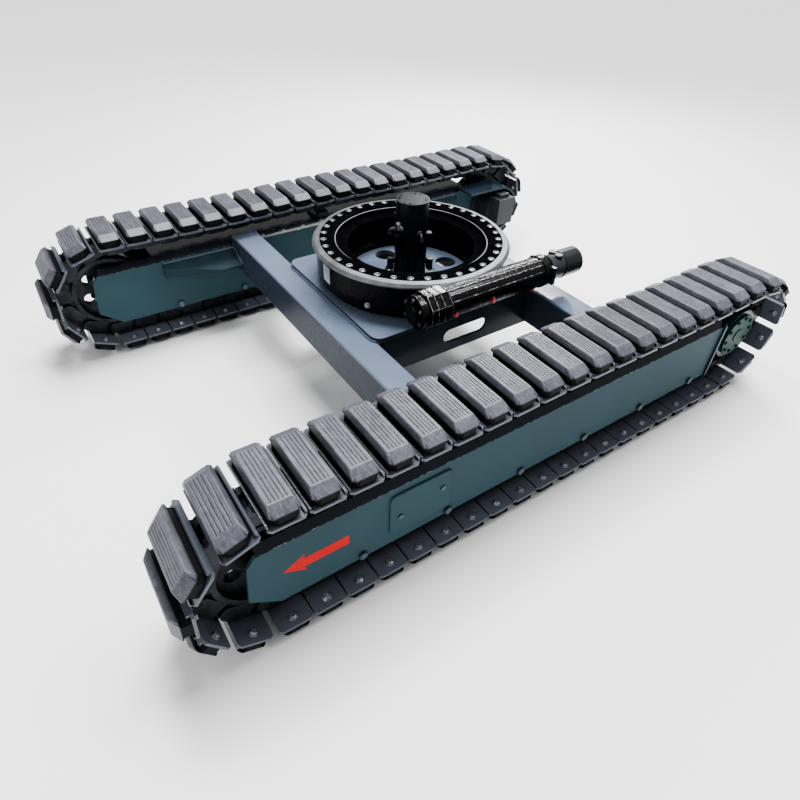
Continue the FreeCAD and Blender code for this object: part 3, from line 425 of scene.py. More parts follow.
def islands(node):
    """The separate solids of a CAD node, each as its corners and the (normal, area) of its faces."""
    bm = bmesh.new()
    bm.from_mesh(frame["nodes"][node].data)
    bmesh.ops.remove_doubles(bm, verts=bm.verts, dist=SAME_POINT)
    bm.verts.index_update()
    seen = set()
    found = []
    for start in bm.verts:
        if start.index in seen:
            continue
        group = []
        waiting = [start]
        seen.add(start.index)
        while waiting:
            vert = waiting.pop()
            group.append(vert)
            for edge in vert.link_edges:
                other = edge.other_vert(vert)
                if other.index not in seen:
                    seen.add(other.index)
                    waiting.append(other)
        faces = {f for v in group for f in v.link_faces}
        corners = [v.co.copy() for v in group]
        found.append((corners, [(f.normal.copy(), f.calc_area()) for f in faces]))
    bm.free()
    return found


def skin_between(bm, low, high):
    """The faces between two rings of as many vertices."""
    corners = zip(low, low[1:] + low[:1], high[1:] + high[:1], high)
    return [bm.faces.new(four) for four in corners]


def chain_middle(point):
    """The nearest point of the line from an idler's axle to the sprocket's."""
    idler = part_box("left_idler")
    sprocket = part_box("left_sprocket")
    front, rear = [(low.y + high.y) / 2 for low, high in (idler, sprocket)]
    height = (sprocket[0].z + sprocket[1].z) / 2
    return Vector((point.x, min(max(point.y, front), rear), height))


def pad_places():
    """Matrix of each rubber pad: its origin is the middle of the pad's bottom face, its Z points
    outwards from the chain and its X along the machine's X. The pad's largest flat face that runs
    along X gives its direction."""
    across = Vector((1, 0, 0))
    level = 0.01
    places = []
    for corners, faces in islands("rubber_pads"):
        areas = {}
        for normal, area in faces:
            if abs(normal.x) < level:
                key = round(degrees(atan2(normal.z, normal.y)), 1)
                areas[key] = areas.get(key, 0.0) + area
        angle = radians(max(areas, key=areas.get))
        out = Vector((0, cos(angle), sin(angle)))
        centre = sum(corners, Vector()) / len(corners)
        if out.dot(centre - chain_middle(centre)) < 0:
            out = -out
        along = out.cross(across)
        spans = [[axis.dot(c) for c in corners] for axis in (across, along, out)]
        middle = [(min(s) + max(s)) / 2 for s in spans]
        origin = across * middle[0] + along * middle[1] + out * min(spans[2])
        rotation = Matrix((across, along, out)).transposed().to_4x4()
        places.append(Matrix.Translation(origin) @ rotation)
    return places


# ---- rubber pads
PAD_HALF_X = 122.0 * MM
PAD_HALF_Y = 40.0 * MM
PAD_TOP = 45.0 * MM
PAD_SHOULDER = 26.0 * MM     # height of the edge between the slopes and the walls
PAD_END_SLOPE = 31.5 * MM
PAD_SIDE_SLOPE = 8.5 * MM
PAD_BROW_CUT = 9.0 * MM      # taken off the corners where the slopes end
PAD_WALL_CUT = 18.0 * MM     # taken off the corners of the walls
PAD_LEDGE = 2.0 * MM         # overhang of the slopes over the walls
PAD_LIP = 3.0 * MM           # height of that overhang
PAD_ROUND = 3.2 * MM
PAD_ROUND_FROM = radians(12)
PAD_SMOOTH_DEGREES = 4.0
GROOVE_COUNT = 5
GROOVE_PITCH = 9.8 * MM
GROOVE_DEPTH = 1.6 * MM
GROOVE_HALF = (0.7 * MM, 2.3 * MM)    # half widths of its floor and its mouth
GROOVE_END = 3.0 * MM        # from the slope to the end of a groove
SKIN_TREAD = 1.0             # values of the skin attribute, which sets the painted shade: the lower, the darker
SKIN_ROUNDED = 1.05
SKIN_SLOPE = 0.90
SKIN_LOW = 0.30
SKIN_WALL = -0.1
SKIN_SLOPE_FROM = PAD_SHOULDER + 1.0 * MM    # heights above which the sides get less painted shade
SKIN_ROUNDED_FROM = PAD_SHOULDER + 6.0 * MM
PAD_SETTLE = 0.004           # radians that a pad may be turned


def groove_lines(half_y):
    """(y, sunk) of every line along the pad's top."""
    lines = [(-half_y, False)]
    for k in range(GROOVE_COUNT):
        middle = (k - (GROOVE_COUNT - 1) / 2) * GROOVE_PITCH
        floor, mouth = GROOVE_HALF
        lines += [(middle - mouth, False), (middle - floor, True),
                  (middle + floor, True), (middle + mouth, False)]
    lines.append((half_y, False))
    return lines


def ring_of_eight(bm, inset, cut, height):
    """The pad's outline with cut corners, as a loop of vertices."""
    x, y = PAD_HALF_X - inset, PAD_HALF_Y - inset
    outline = ((cut - x, -y), (x - cut, -y), (x, cut - y), (x, y - cut),
               (x - cut, y), (cut - x, y), (-x, y - cut), (-x, cut - y))
    return [bm.verts.new((*place, height)) for place in outline]


def pad_mesh():
    """One pad about its own origin: grooved top, four slopes, and walls with cut corners."""
    bm = bmesh.new()
    skin = bm.loops.layers.float.new("skin")
    half_x = PAD_HALF_X - PAD_END_SLOPE
    half_y = PAD_HALF_Y - PAD_SIDE_SLOPE
    run_out = GROOVE_END + GROOVE_DEPTH
    columns = [(-half_x, False), (-half_x + GROOVE_END, False), (-half_x + run_out, True),
               (half_x - run_out, True), (half_x - GROOVE_END, False), (half_x, False)]
    rows = groove_lines(half_y)
    grid = []
    for x, open_here in columns:
        line = []
        for y, sunk in rows:
            depth = GROOVE_DEPTH if open_here and sunk else 0
            line.append(bm.verts.new((x, y, PAD_TOP - depth)))
        grid.append(line)
    for i in range(len(columns) - 1):
        for j in range(len(rows) - 1):
            bm.faces.new((grid[i][j], grid[i + 1][j], grid[i + 1][j + 1], grid[i][j + 1]))
    brow = ring_of_eight(bm, 0.0, PAD_BROW_CUT, PAD_SHOULDER)
    lip = ring_of_eight(bm, PAD_LEDGE, PAD_WALL_CUT, PAD_SHOULDER - PAD_LIP)
    foot = ring_of_eight(bm, PAD_LEDGE, PAD_WALL_CUT, 0.0)
    sides = [bm.faces.new([brow[0], brow[1]] + [line[0] for line in grid][::-1]),
             bm.faces.new([brow[4], brow[5]] + [line[-1] for line in grid])]
    ends = [bm.faces.new([brow[2], brow[3]] + grid[-1][::-1]),
            bm.faces.new([brow[6], brow[7]] + grid[0])]
    corners = ((1, 2, grid[-1][0]), (3, 4, grid[-1][-1]), (5, 6, grid[0][-1]), (7, 0, grid[0][0]))
    for a, b, top in corners:
        ends.append(bm.faces.new((brow[a], brow[b], top)))
    walls = skin_between(bm, foot, lip) + skin_between(bm, lip, brow)
    bm.faces.new(foot[::-1])
    bmesh.ops.recalc_face_normals(bm, faces=bm.faces)
    # skin values paint the shade: paler upper slopes, dark lower slopes and walls
    tones = {face: SKIN_SLOPE for face in ends} | {face: SKIN_WALL for face in walls}
    for face in bm.faces:
        for loop in face.loops:
            if face in sides:
                upper = loop.vert.co.z > SKIN_SLOPE_FROM
                loop[skin] = SKIN_SLOPE if upper else SKIN_LOW
            else:
                loop[skin] = tones.get(face, SKIN_TREAD)
    edges = [e for e in bm.edges if any(f in sides or f in ends for f in e.link_faces)
             and e.calc_face_angle(0.0) > PAD_ROUND_FROM]
    made = bmesh.ops.bevel(bm, geom=edges, offset=PAD_ROUND, segments=3, profile=0.6, affect="EDGES",
                           clamp_overlap=True)
    # the rounded edges get the same painted shade: pale above, dark below
    for face in made["faces"]:
        for loop in face.loops:
            upper = loop.vert.co.z > SKIN_ROUNDED_FROM
            loop[skin] = SKIN_ROUNDED if upper else SKIN_LOW
    return bm


def make_pads():
    """Every pad as one piece; each pad has its own tint, and sits a little unevenly."""
    pattern = pad_mesh()
    pattern.verts.index_update()
    bottom = PAD_TOP - GROOVE_DEPTH
    sunk_y = GROOVE_PITCH * GROOVE_COUNT / 2
    near = 10 * SAME_POINT
    grooves = [abs(v.co.z - bottom) < near and abs(v.co.y) < sunk_y for v in pattern.verts]
    whole = bmesh.new()
    tint = whole.verts.layers.float.new("tint")
    groove = whole.verts.layers.float.new("groove")
    skin = whole.loops.layers.float.new("skin")
    # the pattern's skin values, which paint the shade on walls and lower slopes
    worn = pattern.loops.layers.float["skin"]
    for place in pad_places():
        value = RNG.random()
        settle = Matrix.Rotation(RNG.uniform(-PAD_SETTLE, PAD_SETTLE), 4, "Z")
        corners = []
        for vert in pattern.verts:
            made = whole.verts.new(place @ settle @ vert.co)
            made[tint] = value
            made[groove] = float(grooves[vert.index])
            corners.append(made)
        for face in pattern.faces:
            copied = whole.faces.new([corners[v.index] for v in face.verts])
            for loop, source in zip(copied.loops, face.loops):
                loop[skin] = source[worn]
    mesh = bpy.data.meshes.new("rubber_pad_set")
    whole.to_mesh(mesh)
    whole.free()
    pattern.free()
    smooth_by_angle(mesh, PAD_SMOOTH_DEGREES)
    piece("rubber_pad_set", mesh, "pad_rubber", ROOT, ["rubber_pads"])


# ---- turned and six-sided shapes
def upright(point, direction):
    """Matrix that stands a shape's own Z along a direction, at a point."""
    turn = Vector(direction).to_track_quat("Z", "Y").to_matrix().to_4x4()
    return Matrix.Translation(Vector(point)) @ turn


def turns(count):
    """Evenly spaced angles, all the way round."""
    return [2 * pi * k / count for k in range(count)]


def polar(radius, turn, height=0.0):
    """The point at a radius from the Z axis, a turn away from +X."""
    return Vector((radius * cos(turn), radius * sin(turn), height))


def circle(bm, radius, height, place, segments):
    """A ring of vertices round a shape's own Z."""
    return [bm.verts.new(place @ polar(radius, turn, height)) for turn in turns(segments)]


def lathe(bm, profile, place, segments=24):
    """Closed turned shape from (radius, height) pairs, bottom to top; a zero radius closes it."""
    rings = []
    for radius, height in profile:
        if radius == 0:
            rings.append([bm.verts.new(place @ Vector((0, 0, height)))])
        else:
            rings.append(circle(bm, radius, height, place, segments))
    for low, high in zip(rings, rings[1:]):
        if len(low) == len(high):
            skin_between(bm, low, high)
            continue
        for k in range(segments):
            after = (k + 1) % segments
            if len(low) == 1:
                bm.faces.new((low[0], high[after], high[k]))
            else:
                bm.faces.new((low[k], low[after], high[0]))


def ring_of(bm, profile, place, segments):
    """Closed ring from a (radius, height) outline that doesn't touch the axis."""
    loops = [circle(bm, radius, height, place, segments) for radius, height in profile]
    for i, loop in enumerate(loops):
        skin_between(bm, loop, loops[(i + 1) % len(loops)])


WASHER_THICK = 1.8 * MM
WASHER_EDGE = (0.5 * MM, 0.4 * MM)    # inwards and downwards
# Shares of a head's radius, then of its height.
HEAD_CHAMFER = (0.86, 0.80)           # the hexagon's top, and where its chamfer starts
HEAD_DISC = (0.80, 1.02, 1.04)        # the disc, its rim and its middle


def hex_head(bm, place, radius, height, washer=0.0):
    """Hexagon head with a chamfered top on an optional round washer. Its flat top is a disc that
    stands a little proud of the hexagon."""
    base = 0.0
    if washer:
        base = WASHER_THICK
        inwards, downwards = WASHER_EDGE
        lathe(bm, [(0, 0), (washer, 0), (washer, base - downwards), (washer - inwards, base), (0, base)],
              place)
    inner, shoulder = HEAD_CHAMFER
    lathe(bm, [(0, base), (radius, base), (radius, base + height * shoulder),
               (radius * inner, base + height), (0, base + height)], place, 6)
    disc, rim, middle = HEAD_DISC
    lathe(bm, [(0, base), (radius * disc, base), (radius * disc, base + height * rim),
               (0, base + height * middle)], place, 20)


def circle_at(bm, point, side, other, radius, sides):
    """A ring of vertices round a point, in the plane of two directions."""
    spots = [point + (side * cos(turn) + other * sin(turn)) * radius for turn in turns(sides)]
    return [bm.verts.new(spot) for spot in spots]


def close_tube(bm, rings):
    """Faces from ring to ring, and one across each end."""
    for low, high in zip(rings, rings[1:]):
        skin_between(bm, low, high)
    bm.faces.new(rings[0][::-1])
    bm.faces.new(rings[-1])


def tube_along(bm, points, radius, sides=14):
    """Round tube with flat ends through a list of points."""
    rings = []
    last = len(points) - 1
    side = None
    for i, point in enumerate(points):
        ahead = (points[min(i + 1, last)] - points[max(i - 1, 0)]).normalized()
        if side is None:
            side = ahead.orthogonal().normalized()
        side = (side - ahead * side.dot(ahead)).normalized()
        rings.append(circle_at(bm, point, side, ahead.cross(side), radius, sides))
    close_tube(bm, rings)


def finished(name, bm, slot, body, replaced=(), angle=32.0, look=None):
    """Turns a bmesh into a piece."""
    bmesh.ops.recalc_face_normals(bm, faces=bm.faces)
    mesh = bpy.data.meshes.new(name)
    bm.to_mesh(mesh)
    bm.free()
    smooth_by_angle(mesh, angle)
    return piece(name, mesh, slot, body, replaced, look)


# ---- chain bolts
BOLT_X = 95.7 * MM
BOLT_ALONG = 1.0 * MM        # from the pad's middle to the bolt line
SHOE_THICK = 8.0 * MM
PAD_BOLT = (9.5 * MM, 7.0 * MM, 13.5 * MM)    # radius and height of the head, radius of the washer


def make_pad_bolts():
    """Two bolt heads under each shoe, turned at random."""
    bm = bmesh.new()
    for place in pad_places():
        for way in (-1, 1):
            spot = place @ Vector((way * BOLT_X, BOLT_ALONG, -SHOE_THICK))
            inwards = place.to_3x3() @ Vector((0, 0, -1))
            spin = Matrix.Rotation(RNG.uniform(0, pi / 3), 4, "Z")
            hex_head(bm, upright(spot, inwards) @ spin, *PAD_BOLT)
    finished("pad_bolt_heads", bm, "zinc_bolt", ROOT, ["pad_bolts"], look="worn_bolt")


# ---- slewing drive
RING_HOLES = 36
RING_HOLE_CIRCLE = 324.0 * MM
RING_HOLE_R = 8.75 * MM
RING_MOUTH_R = RING_HOLE_R + 2.2 * MM
RING_PLUG_DEPTH = 4.0 * MM
THREAD_TURNS = 9
THREAD_PITCH = 2.0 * MM
THREAD_DEPTH = 19.0 * MM
THREAD_CREST_R = RING_HOLE_R - 1.0 * MM
THREAD_ROOT_R = RING_HOLE_R + 0.15 * MM
THREAD_WALL_R = RING_HOLE_R + 0.4 * MM
RING_MOUTH = [(RING_HOLE_R, -1.6 * MM), (RING_HOLE_R + 0.2 * MM, -0.6 * MM),
              (RING_MOUTH_R - 0.3 * MM, 0.35 * MM), (RING_MOUTH_R, 0.1 * MM), (RING_MOUTH_R, -0.3 * MM)]
RING_PLUG = [(0, 0), (RING_HOLE_R * 0.55, 0), (RING_HOLE_R * 0.45, 1.6 * MM), (0, 2.4 * MM)]
LIP_R = 2.6 * MM
LIP_INSET = 4.0 * MM         # from the inner ring's rim
LIP_SIDES = 10


def thread_outline():
    """(radius, height) outline of a hole's thread, and of the sleeve that it is cut in."""
    outline = []
    for turn in range(1, THREAD_TURNS + 1):
        z = -THREAD_PITCH * turn
        outline += [(THREAD_CREST_R, z), (THREAD_ROOT_R, z - THREAD_PITCH / 2)]
    return outline + [(THREAD_WALL_R, -THREAD_DEPTH), (THREAD_WALL_R, -THREAD_PITCH)]


def make_ring_details():
    """Polished mouth and thread of each tapped hole, with a bright plug in it."""
    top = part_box("slew_ring_gear")[1].z
    thread = thread_outline()
    bm = bmesh.new()
    for k in range(RING_HOLES):
        turn = 2 * pi * (k + 0.5) / RING_HOLES
        place = Matrix.Translation(polar(RING_HOLE_CIRCLE, turn, top))
        ring_of(bm, RING_MOUTH, place, 24)
        lathe(bm, RING_PLUG, place @ Matrix.Translation((0, 0, -RING_PLUG_DEPTH)), 16)
        ring_of(bm, thread, place, 20)
    finished("ring_hole_mouths", bm, "machined_steel", "slew_ring", look="bright_steel")


def make_race_lip():
    """The seal's bright lip on the inner ring."""
    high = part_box("slew_inner_ring")[1]
    radius = high.x - LIP_INSET
    section = [(radius + LIP_R * cos(turn), LIP_R * sin(turn)) for turn in turns(LIP_SIDES)]
    lip = bmesh.new()
    ring_of(lip, section, Matrix.Translation((0, 0, high.z)), 128)
    finished("race_lip", lip, "machined_steel", ROOT, angle=60.0)


NAME_PLATE_TURN = radians(268.0)
NAME_PLATE_SPREAD = radians(7.6)
NAME_PLATE_Z = (458.0 * MM, 520.0 * MM)
NAME_PLATE_SINK = 0.5 * MM
NAME_PLATE_PROUD = 0.8 * MM
NAME_PLATE_STEPS = 10
RIVET_SHARE = 0.44           # of the plate's width, from its middle
RIVET_INSET = 5.0 * MM
RIVET_LIFT = 0.6 * MM
RIVET = [(0, 0), (2.2 * MM, 0), (1.8 * MM, 0.8 * MM), (0, 1.1 * MM)]


def outwards(turn):
    """Level direction away from the slewing axis."""
    return polar(1.0, turn)


def make_name_plate():
    """Small blank plate, curved round the housing, with a rivet in each corner."""
    wall = -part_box("slew_housing")[0].x
    bottom, top = NAME_PLATE_Z
    inner, outer = wall - NAME_PLATE_SINK, wall + NAME_PLATE_PROUD
    bm = bmesh.new()
    columns = []
    for k in range(NAME_PLATE_STEPS + 1):
        turn = NAME_PLATE_TURN + NAME_PLATE_SPREAD * (k / NAME_PLATE_STEPS - 0.5)
        corners = ((inner, bottom), (outer, bottom), (outer, top), (inner, top))
        columns.append([bm.verts.new(polar(radius, turn, z)) for radius, z in corners])
    close_tube(bm, columns)
    for share in (-RIVET_SHARE, RIVET_SHARE):
        for z in (bottom + RIVET_INSET, top - RIVET_INSET):
            out = outwards(NAME_PLATE_TURN + NAME_PLATE_SPREAD * share)
            spot = out * (wall + RIVET_LIFT) + Vector((0, 0, z))
            lathe(bm, RIVET, upright(spot, out), 12)
    finished("name_plate", bm, "machined_steel", ROOT, look="bright_steel")


WORM_X = 370.0 * MM
WORM_Z = 498.0 * MM
TUBE_R = 54.0 * MM
TUBE_RIDGES = (radians(28), radians(52), radians(72))
TUBE_RIDGE_Y = (-126.0 * MM, 288.0 * MM)
TUBE_RIDGE_STEPS = 40
TUBE_RIDGE_R = 2.2 * MM
COLLAR_R = 62.0 * MM
COLLAR_SIDES = 8
COLLAR_RIBS_Y = (-211.0 * MM, -186.0 * MM, -160.0 * MM, -131.0 * MM)
COLLAR_RIB = [(COLLAR_R - 2.0 * MM, -4.0 * MM), (COLLAR_R + 1.6 * MM, -2.4 * MM),
              (COLLAR_R + 1.6 * MM, 2.4 * MM), (COLLAR_R - 2.0 * MM, 4.0 * MM)]
COLLAR_EDGE = [(COLLAR_R + 2.2 * MM, -1.2 * MM), (COLLAR_R + 3.4 * MM, 0),
               (COLLAR_R + 2.2 * MM, 1.2 * MM), (COLLAR_R - 2.0 * MM, 0)]
COLLAR_LINES = (radians(22.5), radians(67.5))
COLLAR_LINE_R = 1.8 * MM
PLUG_PLACES = ((-110.0 * MM, 24.0), (47.0 * MM, 16.0), (254.0 * MM, 50.0))    # y, degrees down
PLUG_BOSS = [(0, 0), (15.0 * MM, 0), (14.0 * MM, 3.6 * MM), (0, 3.6 * MM)]
PLUG_BOSS_SINK = 3.0 * MM
MOTOR_SLEEVE_Y = (333.0 * MM, 402.0 * MM)
FLANGE_SCREW_X = 52.0 * MM
FLANGE_SCREW_Y = 14.0 * MM   # behind the end caps
FLANGE_SCREW = (8.5 * MM, 8.0 * MM, 11.0 * MM)
HOUSING_SCREW = (8.0 * MM, 7.0 * MM, 11.0 * MM)
HOUSING_SCREW_TURNS = (radians(301), radians(214))
HOUSING_SCREW_Z = 446.0 * MM
HOUSING_SCREW_SINK = 0.5 * MM


def across_worm(y, turn=0.0):
    """Matrix that stands a shape's own Z along the worm, at a place along it."""
    axis = Matrix.Rotation(radians(-90), 4, "X")
    return Matrix.Translation((WORM_X, y, WORM_Z)) @ axis @ Matrix.Rotation(turn, 4, "Z")


def beside_worm(turn, radius, y):
    """A point at a radius from the worm's axis; the turn is upwards from +X."""
    return Vector((WORM_X + radius * cos(turn), y, WORM_Z + radius * sin(turn)))


def collar_rings(bm, outline):
    """The same eight-sided ring at each rib of the collar."""
    for y in COLLAR_RIBS_Y:
        ring_of(bm, outline, across_worm(y, pi / COLLAR_SIDES), COLLAR_SIDES)


def make_tube_castings():
    """Ribs round the collar, and a boss under each plug."""
    bm = bmesh.new()
    collar_rings(bm, COLLAR_RIB)
    for y, drop in PLUG_PLACES:
        down = radians(drop)
        out = Vector((cos(down), 0, -sin(down)))
        spot = Vector((WORM_X, y, WORM_Z)) + out * (TUBE_R - PLUG_BOSS_SINK)
        lathe(bm, PLUG_BOSS, upright(spot, out))
    finished("worm_tube_castings", bm, "slew_black", ROOT)


def make_tube_ridges():
    """Glossy ridges along the tube, edges of the collar's ribs and lines across them, with painted glints
    along their edges.
    """
    bm = bmesh.new()
    start, end = TUBE_RIDGE_Y
    for turn in TUBE_RIDGES:
        path = []
        for k in range(TUBE_RIDGE_STEPS + 1):
            path.append(beside_worm(turn, TUBE_R, start + (end - start) * k / TUBE_RIDGE_STEPS))
        tube_along(bm, path, TUBE_RIDGE_R, 8)
    collar_rings(bm, COLLAR_EDGE)
    for turn in COLLAR_LINES:
        path = [beside_worm(turn, COLLAR_R, COLLAR_RIBS_Y[0]), beside_worm(turn, COLLAR_R, COLLAR_RIBS_Y[-1])]
        tube_along(bm, path, COLLAR_LINE_R, 8)
    finished("worm_tube_ridges", bm, "slew_black", ROOT, look="ridge_black")


def make_motor_section():
    """The motor's gear section, next to the tube."""
    near, far = MOTOR_SLEEVE_Y
    outline = [(0, 0), (52.0 * MM, 0), (50.0 * MM, 4.0 * MM), (47.0 * MM, 26.0 * MM),
               (47.0 * MM, far - near), (0, far - near)]
    bm = bmesh.new()
    lathe(bm, outline, across_worm(near), 40)
    finished("worm_motor_gear_section", bm, "motor_grey", ROOT)


def make_slew_screws():
    """Screws of the tube's rear flange and of the housing's wall."""
    bm = bmesh.new()
    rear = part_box("worm_end_caps")[1].y
    for way in (-1, 1):
        spot = (WORM_X + way * FLANGE_SCREW_X, rear + FLANGE_SCREW_Y, WORM_Z)
        hex_head(bm, upright(spot, (0, 1, 0)), *FLANGE_SCREW)
    wall = -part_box("slew_housing")[0].x
    for turn in HOUSING_SCREW_TURNS:
        out = outwards(turn)
        spot = out * (wall - HOUSING_SCREW_SINK) + Vector((0, 0, HOUSING_SCREW_Z))
        hex_head(bm, upright(spot, out), *HOUSING_SCREW)
    finished("slew_drive_screws", bm, "zinc_bolt", ROOT)


# ---- swivel fittings
SWIVEL_R = 60.0 * MM
ELBOW_PIPE_R = 5.5 * MM
ELBOW_BEND_R = 11.0 * MM
ELBOW_BEND_STEPS = 7
ELBOW_REACH = 22.0 * MM
ELBOW_SINK = 2.0 * MM
ELBOW_NUT = (10.0 * MM, 8.0 * MM)
ELBOW_CAP = (8.5 * MM, 9.0 * MM)
ELBOW_CAP_SINK = 4.0 * MM
OPEN_ELBOWS = ((288.0, 604.0, 12),)    # degrees, height and rise of each
PLUGGED_ELBOWS = ((238.0, 582.0, -8), (352.0, 590.0, -8))
COVER_SCREWS = 8
COVER_SCREW_CIRCLE = 50.0 * MM
COVER_SCREW_START = 20.0     # degrees
COVER_SCREW_LIFT = 6.0 * MM
COVER_SCREW = (4.2 * MM, 2.6 * MM)
FOOT_SCREWS = 6
FOOT_SCREW_CIRCLE = 82.0 * MM
FOOT_SCREW_START = 12.0      # degrees
FOOT_SCREW_LIFT = 10.0 * MM
FOOT_SCREW = HOUSING_SCREW


def elbow(bm, turn, z, rise):
    """Bent pipe union: nut on the barrel, a quarter bend and a capped end that rises or drops."""
    out = outwards(turn)
    up = Vector((0, 0, 1 if rise > 0 else -1))
    start = out * (SWIVEL_R - ELBOW_SINK) + Vector((0, 0, z))
    straight = ELBOW_REACH - ELBOW_BEND_R
    points = [start, start + out * straight]
    centre = points[-1] + up * ELBOW_BEND_R
    for k in range(1, ELBOW_BEND_STEPS + 1):
        a = radians(90 * k / ELBOW_BEND_STEPS)
        points.append(centre + out * ELBOW_BEND_R * sin(a) - up * ELBOW_BEND_R * cos(a))
    points.append(points[-1] + up * abs(rise))
    tube_along(bm, points, ELBOW_PIPE_R)
    hex_head(bm, upright(start, out), *ELBOW_NUT)
    hex_head(bm, upright(points[-1] - up * ELBOW_CAP_SINK, up), *ELBOW_CAP)


def screw_circle(bm, count, radius, first, z, screw):
    """Upright screws evenly round the slewing axis."""
    for k in range(count):
        turn = radians(360 / count * k + first)
        hex_head(bm, upright(polar(radius, turn, z), UP), *screw)


def make_swivel_details():
    """Elbows on the barrel, screws of its cover and of its foot."""
    for name, look, elbows in (("swivel_elbow", "zinc_bolt", OPEN_ELBOWS),
                               ("swivel_plugged_elbows", "worn_union", PLUGGED_ELBOWS)):
        pipes = bmesh.new()
        for turn, z, rise in elbows:
            elbow(pipes, radians(turn), z * MM, rise * MM)
        finished(name, pipes, "zinc_bolt", "swivel_rotor", look=look)
    screws = bmesh.new()
    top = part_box("swivel_rotor")[1].z + COVER_SCREW_LIFT
    screw_circle(screws, COVER_SCREWS, COVER_SCREW_CIRCLE, COVER_SCREW_START, top, COVER_SCREW)
    finished("swivel_cover_screws", screws, "swivel_black", "swivel_rotor")
    feet = bmesh.new()
    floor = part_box("base_plate")[1].z + FOOT_SCREW_LIFT
    screw_circle(feet, FOOT_SCREWS, FOOT_SCREW_CIRCLE, FOOT_SCREW_START, floor, FOOT_SCREW)
    finished("swivel_foot_screws", feet, "zinc_bolt", ROOT)


# ---- direction arrows
ARROW_TIP_Y = -950.0 * MM
ARROW_END_Y = -764.0 * MM
ARROW_BARB_Y = ARROW_TIP_Y + 62.0 * MM
ARROW_NECK_Y = ARROW_BARB_Y - 6.0 * MM
ARROW_Z = 237.0 * MM
ARROW_HEAD_HALF = 33.0 * MM
ARROW_SHAFT_HALF = 17.0 * MM
ARROW_SINK = 0.3 * MM
ARROW_PROUD = 0.25 * MM


def make_arrows():
    """Painted direction arrow on each outer side plate, pointing to the idler."""
    lower = [(ARROW_BARB_Y, -ARROW_HEAD_HALF), (ARROW_NECK_Y, -ARROW_SHAFT_HALF),
             (ARROW_END_Y, -ARROW_SHAFT_HALF)]
    outline = [(ARROW_TIP_Y, 0)] + lower + [(y, -z) for y, z in reversed(lower)]
    for side, way in SIDES.items():
        low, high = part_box(side + "_outer_side_plate")
        face = high.x if way > 0 else low.x
        bm = bmesh.new()
        inner = [bm.verts.new((face - way * ARROW_SINK, y, ARROW_Z + z)) for y, z in outline]
        outer = [bm.verts.new((face + way * ARROW_PROUD, y, ARROW_Z + z)) for y, z in outline]
        close_tube(bm, [inner, outer])
        finished(side + "_direction_arrow", bm, "plug_red", ROOT, look="arrow_red")


# ---- weld beads
BEAD_STEP = 3.2 * MM
BEAD_PITCH = 6.4 * MM        # from ripple to ripple
BEAD_SIDES = 6
BEAD_RIPPLE = 0.22           # shares of the bead's radius
BEAD_UNEVEN = 0.07
BEAD_TIP = 0.55
BEAD_LEVEL = 0.1             # a run steeper than this leaves its side direction open
PLATE_CORNER_R = 38.0 * MM
PLATE_CORNER_DEGREES = range(43, 91, 8)
BEAM_CORNER = 8.0 * MM
BEAD_GAP = 1.0 * MM          # from a face to the middle of a bead
CORNER_GAP = 1.2 * MM        # the same for a bead in a corner
BEAD_R = 4.0 * MM
PLATE_BEAD_R = 4.2 * MM
PLATE_BEAD_LIFT = 2.0 * MM
MEMBER_BEAD_ENDS = (2.0 * MM, 3.0 * MM)    # from a side member's foot and from its top
UNDER_BEAD_R = 3.2 * MM      # along the side members, under the base plate
GUSSET_BEAD_R = 5.0 * MM
GUSSET_TIP_CUT = 2.0 * MM
GUSSET_REACH = 82.0 * MM
GUSSET_DROP = 45.0 * MM


def along(points, step):
    """Evenly spaced points of a polyline, with the distance run."""
    found = []
    run = 0.0
    for start, end in zip(points, points[1:]):
        length = (end - start).length
        count = max(1, round(length / step))
        for k in range(count):
            found.append((start.lerp(end, k / count), run + length * k / count))
        run += length
    found.append((points[-1], run))
    return found


def bead(bm, points, radius):
    """Rippled weld bead, half sunk in the corner that it fills."""
    spots = along([Vector(p) for p in points], BEAD_STEP)
    last = len(spots) - 1
    rings = []
    for i, (point, run) in enumerate(spots):
        ahead = (spots[min(i + 1, last)][0] - spots[max(i - 1, 0)][0]).normalized()
        side = ahead.cross(Vector(UP))
        side = side.normalized() if side.length > BEAD_LEVEL else ahead.orthogonal().normalized()
        wave = BEAD_RIPPLE * abs(sin(pi * run / BEAD_PITCH))
        ripple = 1.0 + wave + RNG.uniform(-BEAD_UNEVEN, BEAD_UNEVEN)
        size = radius * ripple * (BEAD_TIP if i in (0, last) else 1.0)
        rings.append(circle_at(bm, point, side, ahead.cross(side), size, BEAD_SIDES))
    close_tube(bm, rings)


def plate_edge_path(low, high, way):
    """The base plate's front or rear edge where it lies on a beam, with part of each corner."""
    points = []
    for a in map(radians, PLATE_CORNER_DEGREES):
        x = low.x + PLATE_CORNER_R - PLATE_CORNER_R * cos(a)
        y = high.y - PLATE_CORNER_R + PLATE_CORNER_R * sin(a)
        points.append(Vector((x, way * y, low.z)))
    return points + [Vector((-p.x, p.y, p.z)) for p in reversed(points)]


def beam_end_loop(end, near, far, floor, roof):
    """The rounded outline of a beam where it meets a track frame."""
    way = copysign(1.0, far - near)
    front, rear = near + way * BEAM_CORNER, far - way * BEAM_CORNER
    upper, lower = roof - BEAM_CORNER, floor + BEAM_CORNER
    return [(end, front, roof), (end, rear, roof), (end, far, upper), (end, far, lower),
            (end, rear, floor), (end, front, floor), (end, near, lower), (end, near, upper),
            (end, front, roof)]


